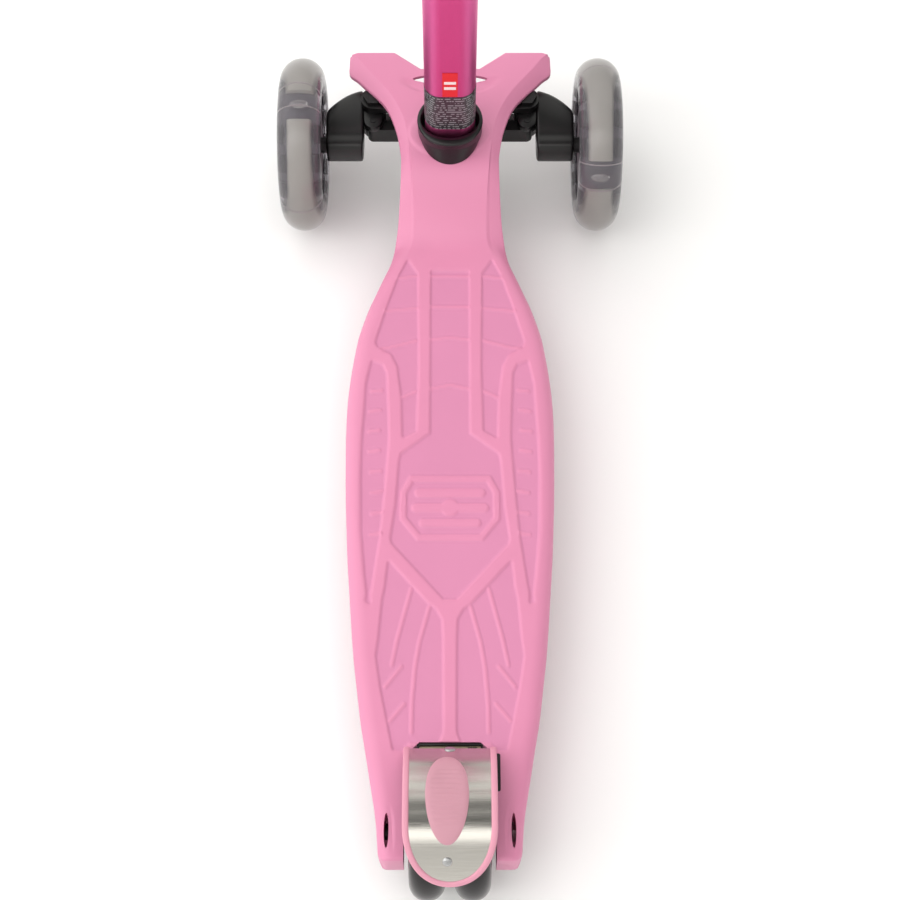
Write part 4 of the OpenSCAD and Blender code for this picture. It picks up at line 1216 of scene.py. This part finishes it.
@dataclass
class FrontWheel:
    """One front wheel: clear tyre cast round a pale core whose pockets, web and hub are painted dark as
    shade, with a lamp capsule.
    """

    side: Side
    gap_at: float
    track_half: float = 103.0
    axle_y: float = 232.0
    radius: float = 60.0
    half_width: float = 15.0
    crown_centre: float = 45.8
    band_radius: float = 47.0
    band_half: float = 5.8
    gap: float = 26.0
    pocket_step: float = 24.0
    pocket_sweep: float = 15.0
    lamp_reach: float = 47.2
    lamp_lag: float = 0.5
    seam_places: Sequence[float] = (-6, 12.5, -84, 92)

    @property
    def centre(self) -> Vector:
        """Middle of the wheel in metres."""
        return Vector((self.side.value * self.track_half, self.axle_y, self.radius)) * MM

    def crown(self, inward: float = 0.0, steps: int = 24) -> list[tuple[float, float]]:
        """Points of the tyre's round crown, from one flank to the other."""
        turn = [math.pi * k / steps for k in range(steps + 1)]
        rise = self.radius - self.crown_centre - inward
        return [((self.half_width - inward) * math.cos(a), self.crown_centre + rise * math.sin(a))
                for a in turn]

    def build(self) -> None:
        """Builds and mounts the wheel."""
        word = self.side.word
        body = f"front_{word}_wheel"
        bore = [(-14.4, 41.4), (-12.6, 39.4), (-10.8, 39.8), (-10.8, 43.4), (10.8, 43.4), (10.8, 39.8),
                (12.6, 39.4), (14.4, 41.4)]
        tyre = turned(self.crown() + bore, self.centre, 128)
        fit(settle(tyre, f"clear_tyre_{word}", "front_urethane", 60), body, "smoke_urethane",
            f"front_tyre_{word}")
        fit(self.core(), body, "core_plastic", f"front_core_{word}")
        fit(self.band(), body, "core_plastic")
        fit(self.pockets(), body, "core_plastic")
        fit(self.lamp(), body, "smoke_urethane")
        fit(self.seams(), body, "smoke_urethane")
        dress((f"front_bearings_{word}",), "zinc", 0.2)

    def band(self) -> Piece:
        """Builds the pale raised band under the tyre, open at the lamp's gap."""
        w, r = self.band_half, self.band_radius
        shape = [(-w, 42.8), (-w, r - 1), (-w + 1, r), (w - 1, r), (w, r - 1), (w, 42.8)]
        piece = turned(shape, self.centre, 110, 360 - self.gap, -self.gap_at + self.gap / 2)
        return settle(piece, f"core_band_{self.side.word}", "core", 50)

    def pockets(self) -> Piece:
        """Builds the pockets along both flanks of the core, coloured dark as painted shade."""
        parts = []
        for flank in (-1, 1):
            low, high = sorted((flank * 6.9, flank * 12.0))
            shape = [(low, 42.0), (low, 45.6), (low + 0.8, 46.4), (high - 0.8, 46.2), (high, 45.2),
                     (high, 42.0)]
            for k in range(int(360 / self.pocket_step)):
                start = -self.gap_at + self.gap / 2 + 4 + k * self.pocket_step
                if k * self.pocket_step < 360 - self.gap - 14:
                    parts.append(turned(shape, self.centre, 8, self.pocket_sweep, start))
        # The pockets take the dark core finish as painted shade on the core's flanks.
        return settle(joined(parts), f"core_pockets_{self.side.word}", "dark_core_and_painted_shade", 40)

    def core(self) -> Piece:
        """Builds the core's dished web, spokes and hub, coloured dark as painted shade, and fits the rim
        round them.
        """
        inner, outer = -self.side.value, self.side.value
        rim = [(-10.6, 38.6), (-10.6, 43.2), (10.6, 43.2), (10.6, 38.6), (9.2, 37.4), (-9.2, 37.4)]
        web = [(outer * 1.0, 16.0), (outer * 3.0, 38.0), (inner * 1.0, 38.0), (inner * 3.0, 16.0)]
        hub = [(-10.5, 11.05), (-10.5, 14.6), (-9.6, 15.6), (9.6, 15.6), (10.5, 14.6), (10.5, 11.05)]
        ring = settle(turned(rim, self.centre, 96), f"core_rim_{self.side.word}", "rim", 40)
        fit(ring, f"front_{self.side.word}_wheel", "core_plastic")
        parts = [turned(shape, self.centre, 96) for shape in (web, hub)]
        for k in range(6):
            spoke = box((-8.5, -1.7, 15.0), (8.5, 1.7, 38.0), 1.0)
            single_out(spoke)
            bpy.ops.transform.rotate(value=math.radians(60 * k), orient_axis="X", center_override=(0, 0, 0))
            bpy.ops.transform.translate(value=self.centre)
            parts.append(spoke)
        for part in parts:
            single_out(part)
            bpy.ops.object.transform_apply(location=True, rotation=True, scale=True)
        # Web, spokes and hub take the dark core finish as painted shade on the wheel's sides.
        return settle(joined(parts), f"core_hub_{self.side.word}", "dark_core_and_painted_shade", 40)

    def lamp(self) -> Piece:
        """Builds the clear lamp capsule in the band's gap."""
        deselect()
        turn = math.radians(self.gap_at - self.lamp_lag)
        spot = self.centre + Vector((0, math.sin(turn), math.cos(turn))) * self.lamp_reach * MM
        bpy.ops.mesh.primitive_uv_sphere_add(segments=32, ring_count=16, radius=1, location=spot,
                                             scale=(4.8 * MM, 3.0 * MM, 2.2 * MM))
        return settle(bpy.context.object, f"lamp_capsule_{self.side.word}", "lamp", 60)

    def seams(self) -> Piece:
        """Builds the thin seams across the tyre beside the gap and opposite it, coloured pale as a painted
        highlight along the mould edges.
        """
        shape = self.crown(1.6, 16) + self.crown(2.3, 16)[::-1]
        parts = [turned(shape, self.centre, 1, 0.7, -(self.gap_at + offset)) for offset in self.seam_places]
        # The pale print finish on the seams is a painted highlight along the tyre's mould edges.
        return settle(joined(parts), f"tyre_seams_{self.side.word}", "badge_bar", 40)


@dataclass
class Knuckle:
    """One steering knuckle with its moulded shell, pivot barrel, bolt and track rod pin."""

    side: Side
    inner: float = 60.6
    outer: float = 87.2
    steps: int = 26
    arm_x: float = 54.0
    housing: Sequence[tuple[float, float, float]] = (
        (221.0, 56.0, 0.0), (221.6, 65.0, 0.0), (224.5, 69.6, 0.0), (229.0, 70.8, 0.0), (233.5, 69.6, 0.0),
        (238.0, 71.6, 0.0), (244.0, 73.6, 1.0), (252.0, 75.4, 3.0))
    nose: Outline = ((-6.0, 0.0), (-1.5, -1.5), (0.0, -6.0), (-2.0, -12.0))
    belly: Sequence[tuple[float, float, float]] = ((256.0, 58.0, 6.0), (240.0, 50.0, 0.0), (224.0, 50.0, 0.0))

    def build(self) -> None:
        """Builds and mounts the knuckle."""
        word = self.side.word
        fit(self.shell(), f"{word}_knuckle", "black_plastic", f"knuckle_{word}")
        fit(self.barrel(), f"{word}_knuckle", "black_plastic")
        fit(self.arm(), f"{word}_knuckle", "black_plastic")
        dress((f"knuckle_pin_{word}", f"axle_bolt_{word}"), "black_steel", 0.2)
        dress((f"axle_nut_{word}",), "zinc", 0.2)

    def arm(self) -> Piece:
        """Builds the steering arm from the pivot back to the track rod's pin."""
        x = self.side.value * self.arm_x
        turn = [math.pi * (1 + k / 12) for k in range(13)]
        shape = [(x + 6.4 * math.cos(a), 244.4 + 6.4 * math.sin(a)) for a in turn]
        shape += [(x + 7.6, 252), (x + 7.6, 259), (x - 7.6, 259), (x - 7.6, 252)]
        piece = prism(shape, 66.8, 72.6)
        single_out(piece)
        bpy.ops.object.mode_set(mode="EDIT")
        bpy.ops.mesh.select_all(action="SELECT")
        bpy.ops.mesh.bevel(offset=0.7 * MM, segments=2)
        bpy.ops.object.mode_set(mode="OBJECT")
        return settle(piece, f"steering_arm_{self.side.word}", "black")

    def shell(self) -> Piece:
        """Builds the moulded shell: the axle housing behind, and the arm that humps up in front of it."""
        rows = self.steps
        count = len(self.housing) + len(self.nose) + len(self.belly)

        def place(column: Array, row: Array) -> Array:
            t = np.clip((row - 1) / (rows - 3), 0, 1)
            x = self.inner + (self.outer - self.inner) * t
            capped = (row == 0) | (row == rows - 1)
            front = 270.5 - 2.0 * t - 13.0 * t**2.2
            crest = 76.0 - 4.5 * t
            level = np.ones_like(t)
            loop_y = [y * level for y, _, _ in self.housing] + [front + ahead for ahead, _ in self.nose]
            loop_y += [y - fall * t for y, _, fall in self.belly]
            loop_z = [z - fall * t for _, z, fall in self.housing] + [crest + up for _, up in self.nose]
            loop_z += [z * level for _, z, _ in self.belly]
            pick = np.arange(len(column))
            y = np.array(loop_y)[column % count, pick]
            z = np.array(loop_z)[column % count, pick]
            edge = np.minimum(x - self.inner, self.outer - x)
            pull = 1 - 0.10 * np.clip(1 - edge / 1.6, 0, 1) ** 2
            middle_y, middle_z = 244.0, 63.0
            y = np.where(capped, middle_y, middle_y + (y - middle_y) * pull)
            z = np.where(capped, middle_z, middle_z + (z - middle_z) * pull)
            return np.stack([self.side.value * x, y, z], axis=1)

        piece = wrapped_grid(count, rows - 1, place)
        apply_modifier(piece, "SUBSURF", levels=2, render_levels=2)
        return settle(piece, f"knuckle_shell_{self.side.word}", "black", 60)

    def barrel(self) -> Piece:
        """Builds the pivot barrel with its rings, round the kingpin."""
        deselect()
        shape = [(5.2, 56.0), (8.2, 56.0), (8.6, 57.0), (8.6, 74.5), (7.9, 75.0), (7.9, 76.4), (8.3, 76.8),
                 (8.3, 78.2), (7.6, 78.8), (5.2, 78.8)]
        centre = Vector((self.side.value * self.arm_x, 258.0, 0)) * MM
        bpy.ops.mesh.primitive_circle_add(vertices=len(shape), radius=1)
        piece = bpy.context.object
        for vertex, (radius, z) in zip(piece.data.vertices, shape):
            vertex.co = centre + Vector((radius, 0, z)) * MM
        bpy.ops.object.mode_set(mode="EDIT")
        bpy.ops.mesh.select_all(action="SELECT")
        bpy.ops.mesh.spin(steps=48, angle=math.tau, center=centre, axis=(0, 0, 1))
        bpy.ops.object.mode_set(mode="OBJECT")
        tidy_mesh(piece)
        return settle(piece, f"knuckle_barrel_{self.side.word}", "black", 35)


# ---- Rear wheels and brake ------------------------------------------------


@dataclass
class RearWheel:
    """One rear wheel: dark glossy tyre on a dark core."""

    side: Side
    centre_x: float = 13.7
    axle_y: float = -252.0
    radius: float = 40.0
    half_width: float = 11.0

    def build(self) -> None:
        """Builds and mounts the wheel."""
        word = self.side.word
        turn = [math.pi * k / 24 for k in range(25)]
        shape = [(self.half_width * math.cos(a), 29.5 + 10.5 * math.sin(a)) for a in turn]
        shape += [(-10.2, 28.0), (-8.6, 27.6), (-8.6, 28.2), (8.6, 28.2), (8.6, 27.6), (10.2, 28.0)]
        centre = Vector((self.side.value * self.centre_x, self.axle_y, self.radius)) * MM
        tyre = turned(shape, centre, 96)
        fit(settle(tyre, f"dark_tyre_{word}", "rear_urethane", 60), f"rear_{word}_wheel", "dark_urethane",
            f"rear_tyre_{word}")
        dress((f"rear_core_{word}",), "dark_core_and_painted_shade", 0.5)
        dress((f"rear_bearings_{word}",), "zinc", 0.2)


@dataclass
class Brake:
    """Foot brake: curved steel plate, rubber border, ribbed foot pad, hinge and rivets."""

    centre_y: float = -247.5
    centre_z: float = 38.0
    radius: float = 49.5
    border_half: float = 26.1
    border_width: float = 3.8
    front: float = -206.6
    turn_y: float = -259.0
    tail: float = -288.2
    pad_x: float = -1.7
    pad_middle: float = 6.2
    pad_reach: float = 28.2
    pad_half: float = 12.8

    def arc(self, y: float) -> float:
        """Distance along the arc to a place given by its Y."""
        return self.radius * math.asin((y - self.centre_y) / self.radius)

    def on_arc(self, x: Array, along: Array, proud: Array) -> Array:
        """Lays points on the plate's curve.

        Args:
            x: X of each point.
            along: Distance along the arc.
            proud: Height above the plate's skin.

        Returns:
            X, Y, Z of each point.
        """
        turn = along / self.radius
        reach = self.radius + proud
        y, z = self.centre_y + reach * np.sin(turn), self.centre_z + reach * np.cos(turn)
        return np.stack([x, y, z], axis=1)

    def build(self) -> None:
        """Builds and mounts the brake."""
        fit(self.border(), "brake", "brake_rubber", "brake_rim_trim")
        fit(self.pad(), "brake", "brake_rubber", "brake_pad")
        fit(self.plate(), "brake", "brushed_plate", "brake_plate")
        fit(self.dome("brake_front_rivet", self.arc(-207.4), 3.6, 1.1), "brake", "bolt_steel", "brake_rivets")
        fit(self.dome("brake_tail_dimple", self.arc(-277.5), 2.9, 1.2), "brake", "bolt_steel")
        dress(("brake_hinge",), "brushed", 0.2)

    def plate(self) -> Piece:
        """Builds the curved steel plate inside the border."""
        columns, rows = 40, 110
        start, bend, tail = self.arc(self.front), self.arc(self.turn_y), self.arc(self.tail)

        def place(column: Array, row: Array) -> Array:
            along = start + (tail - start) * (row / rows) ** 0.97
            share = np.clip((along - bend) / (tail - bend), 0, 0.9995)
            half = self.border_half * np.sqrt(1 - share**2)
            return self.on_arc((column / columns * 2 - 1) * half, along, 0 * along)

        piece = wrapped_grid(columns, rows, place)
        apply_modifier(piece, "SOLIDIFY", thickness=1.8 * MM, offset=-1)
        return settle(piece, "brake_steel", "brushed", 50)

    def dome(self, name: str, along: float, radius: float, rise: float) -> Piece:
        """Builds a low round head on the plate.

        Args:
            name: Its name.
            along: Its place along the arc.
            radius: Its radius.
            rise: Its height above the plate.

        Returns:
            The head.
        """
        deselect()
        bpy.ops.mesh.primitive_uv_sphere_add(segments=32, ring_count=16, radius=1)
        piece = bpy.context.object
        for vertex in piece.data.vertices:
            vertex.co = (vertex.co.x * radius, vertex.co.y * radius, vertex.co.z * rise)
        spot = np.array([tuple(v.co) for v in piece.data.vertices])
        centre_x = 0.0 if along > 0 else -1.6
        laid = self.on_arc(spot[:, 0] + centre_x, spot[:, 1] + along, spot[:, 2])
        for vertex, co in zip(piece.data.vertices, laid):
            vertex.co = co * MM
        return settle(piece, name, "zinc", 60)

    def border(self) -> Piece:
        """Builds the rubber border, down one side, round the tail and up the other."""
        start, bend, tail = self.arc(self.front), self.arc(self.turn_y), self.arc(self.tail)
        sweep = np.linspace(0, math.pi, 65)
        path = [(self.border_half, s) for s in np.linspace(start, bend, 24)[:-1]]
        path += [(self.border_half * math.cos(a), bend + (tail - bend) * math.sin(a)) for a in sweep]
        path += [(-self.border_half, s) for s in np.linspace(bend, start, 24)[1:]]
        path = np.array([path[0], *path, path[-1]])
        way = np.gradient(path[1:-1], axis=0)
        way /= np.linalg.norm(way, axis=1)[:, None]
        way = np.vstack([way[0], way, way[-1]])
        half = self.border_width / 2
        loop = np.array([
            (-half, -1.6), (-half, 0.2), (-half + 0.35, 0.75), (-half + 0.9, 1.0), (0, 1.1),
            (half - 0.9, 1.0), (half - 0.35, 0.75), (half, 0.2), (half, -1.6), (half - 0.8, -2.4),
            (-half + 0.8, -2.4)])
        count, last = len(loop), len(path) - 1

        def place(column: Array, row: Array) -> Array:
            out, proud = loop[column % count].T
            capped = (row == 0) | (row == last)
            out = np.where(capped, 0, out)
            proud = np.where(capped, -0.7, proud)
            x = path[row, 0] + way[row, 1] * -out
            along = path[row, 1] + way[row, 0] * out
            return self.on_arc(x, along, proud)

        return settle(wrapped_grid(count, last, place), "brake_border", "border", 45)

    def pad(self) -> Piece:
        """Builds the egg-shaped foot pad with its fine cross ribs."""
        steps, rings = 120, 44

        def place(column: Array, row: Array) -> Array:
            turn = column * math.tau / steps
            ring = np.clip(row / 36, 0, 1)
            side = np.clip((row - 36) / 4, 0, 1)
            under = np.clip((row - 40) / 4, 0, 1)
            share = np.where(row > 40, 1 - under, ring)
            across = self.pad_half * np.sin(turn) * (1 + 0.05 * np.cos(turn)) * share
            along = self.pad_middle + self.pad_reach * np.cos(turn) * share
            crown = 2.4 - 1.1 * ring**8
            rib = 0.26 * np.cos((along - self.pad_middle) * math.tau / 3.1) * smoothstep((0.9 - ring) / 0.15)
            rib = rib * smoothstep((19 - np.abs(along - self.pad_middle)) / 4)
            proud = np.where(row > 36, crown * (1 - side) + 0.05, crown + rib)
            return self.on_arc(self.pad_x + across, along, proud)

        return settle(wrapped_grid(steps, rings, place), "brake_foot_pad", "pad", 50)


@dataclass
class TrackRod:
    """Track rod that joins both knuckles."""

    def build(self) -> None:
        """Dresses the track rod."""
        dress(("track_rod",), "dark_black", 0.8)


ASSEMBLIES = (DeckAssembly(), SteeringHead(), Handlebar(), TrackRod(), FrontWheel(Side.LEFT, -1.0),
              FrontWheel(Side.RIGHT, -60.0), Knuckle(Side.LEFT), Knuckle(Side.RIGHT), RearWheel(Side.LEFT),
              RearWheel(Side.RIGHT), Brake())


# ---- Stage ----------------------------------------------------------------


@dataclass
class Stage:
    """Pale studio floor, soft lights and the camera."""

    camera_place: tuple[float, float, float] = (0.0, -0.5148, 1.1523)
    camera_tilt: float = 25.0
    lens: float = 74.0

    def build(self) -> None:
        """Sets up the camera, the floor, the lights and the surroundings."""
        self.place_camera()
        self.lay_floor()
        self.hang_light("key", (-1.5, -0.1, 1.7), (0, 0, 0.05), (2.6, 2.6), 22.5)
        self.hang_light("fill", (0.2, 0.25, 2.1), (0, 0, 0.05), (2.0, 2.0), 10.0).visible_glossy = False
        self.surround()
        bpy.context.scene.view_settings.view_transform = "Standard"

    def place_camera(self) -> None:
        """Places the camera above and behind the scooter, looking down and forward."""
        lens = bpy.data.cameras.new("camera")
        lens.lens = self.lens
        lens.sensor_width = 36.0
        lens.clip_start = 0.01
        camera = bpy.data.objects.new("camera", lens)
        camera.location = self.camera_place
        camera.rotation_euler = (math.radians(self.camera_tilt), 0, 0)
        bpy.context.scene.collection.objects.link(camera)
        bpy.context.scene.camera = camera

    def lay_floor(self) -> None:
        """Lays the floor under the wheels."""
        deselect()
        bpy.ops.mesh.primitive_plane_add(size=8, location=(0, 0, -0.0002))
        floor = bpy.context.object
        floor.name = "floor"
        material = bpy.data.materials.new("white_floor")
        material.use_nodes = True
        shader = material.node_tree.nodes["Principled BSDF"]
        shader.inputs["Base Color"].default_value = (0.97, 0.97, 0.97, 1)
        shader.inputs["Roughness"].default_value = 0.9
        shader.inputs["Specular IOR Level"].default_value = 0.1
        floor.data.materials.append(material)

    def hang_light(self, name: str, place: tuple, aim: tuple, size: tuple, power: float) -> Piece:
        """Hangs one soft light.

        Args:
            name: Its name.
            place: Where it hangs, in metres.
            aim: The point that it faces.
            size: Its width and height in metres.
            power: Its power in watts.

        Returns:
            The light.
        """
        light = bpy.data.lights.new(name, "AREA")
        light.shape = "RECTANGLE"
        light.size, light.size_y = size
        light.energy = power
        lamp = bpy.data.objects.new(name, light)
        lamp.location = place
        lamp.rotation_euler = (Vector(aim) - Vector(place)).to_track_quat("-Z", "Y").to_euler()
        bpy.context.scene.collection.objects.link(lamp)
        return lamp

    def surround(self) -> None:
        """Wraps the studio round the scooter in bands from back to front, brighter to the left."""
        world = bpy.data.worlds.new("studio")
        bpy.context.scene.world = world
        world.use_nodes = True
        tree = world.node_tree
        tree.nodes.clear()
        way = add_node(tree, "ShaderNodeTexCoord").outputs["Generated"]
        split = add_node(tree, "ShaderNodeSeparateXYZ", {0: way})
        turn = add_node(tree, "ShaderNodeMath", {0: split.outputs[1], 1: split.outputs[2]},
                        operation="ARCTAN2")
        part = add_node(tree, "ShaderNodeMapRange", {
            "Value": turn.outputs[0], "From Min": -math.pi / 2, "From Max": math.pi / 2})
        bands = add_node(tree, "ShaderNodeValToRGB", {0: part.outputs[0]})
        degrees = (
            (-90, 0.56), (-35, 0.44), (-30, 1.1), (-17, 1.2), (-14, 0.10), (3, 0.10), (5, 0.40), (7.5, 0.42),
            (9, 0.12), (21, 0.14), (27, 0.52), (45, 0.66), (60, 0.70), (70, 0.42), (90, 0.62))
        set_ramp(bands, [((a + 90) / 180, (v, v * 0.985, v * 0.95, 1)) for a, v in degrees])
        tilt = add_node(tree, "ShaderNodeMapRange", {
            "Value": split.outputs[0], "From Min": -0.8, "From Max": 0.8, "To Min": 2.3, "To Max": 1.2})
        back = add_node(tree, "ShaderNodeBackground", {
            "Color": bands.outputs[0], "Strength": tilt.outputs[0]})
        add_node(tree, "ShaderNodeOutputWorld", {"Surface": back.outputs[0]})


def main() -> None:
    logging.basicConfig(level=logging.INFO, format="%(name)s: %(message)s")
    Stage().build()
    for assembly in ASSEMBLIES:
        assembly.build()


if __name__ == "__main__":
    main()
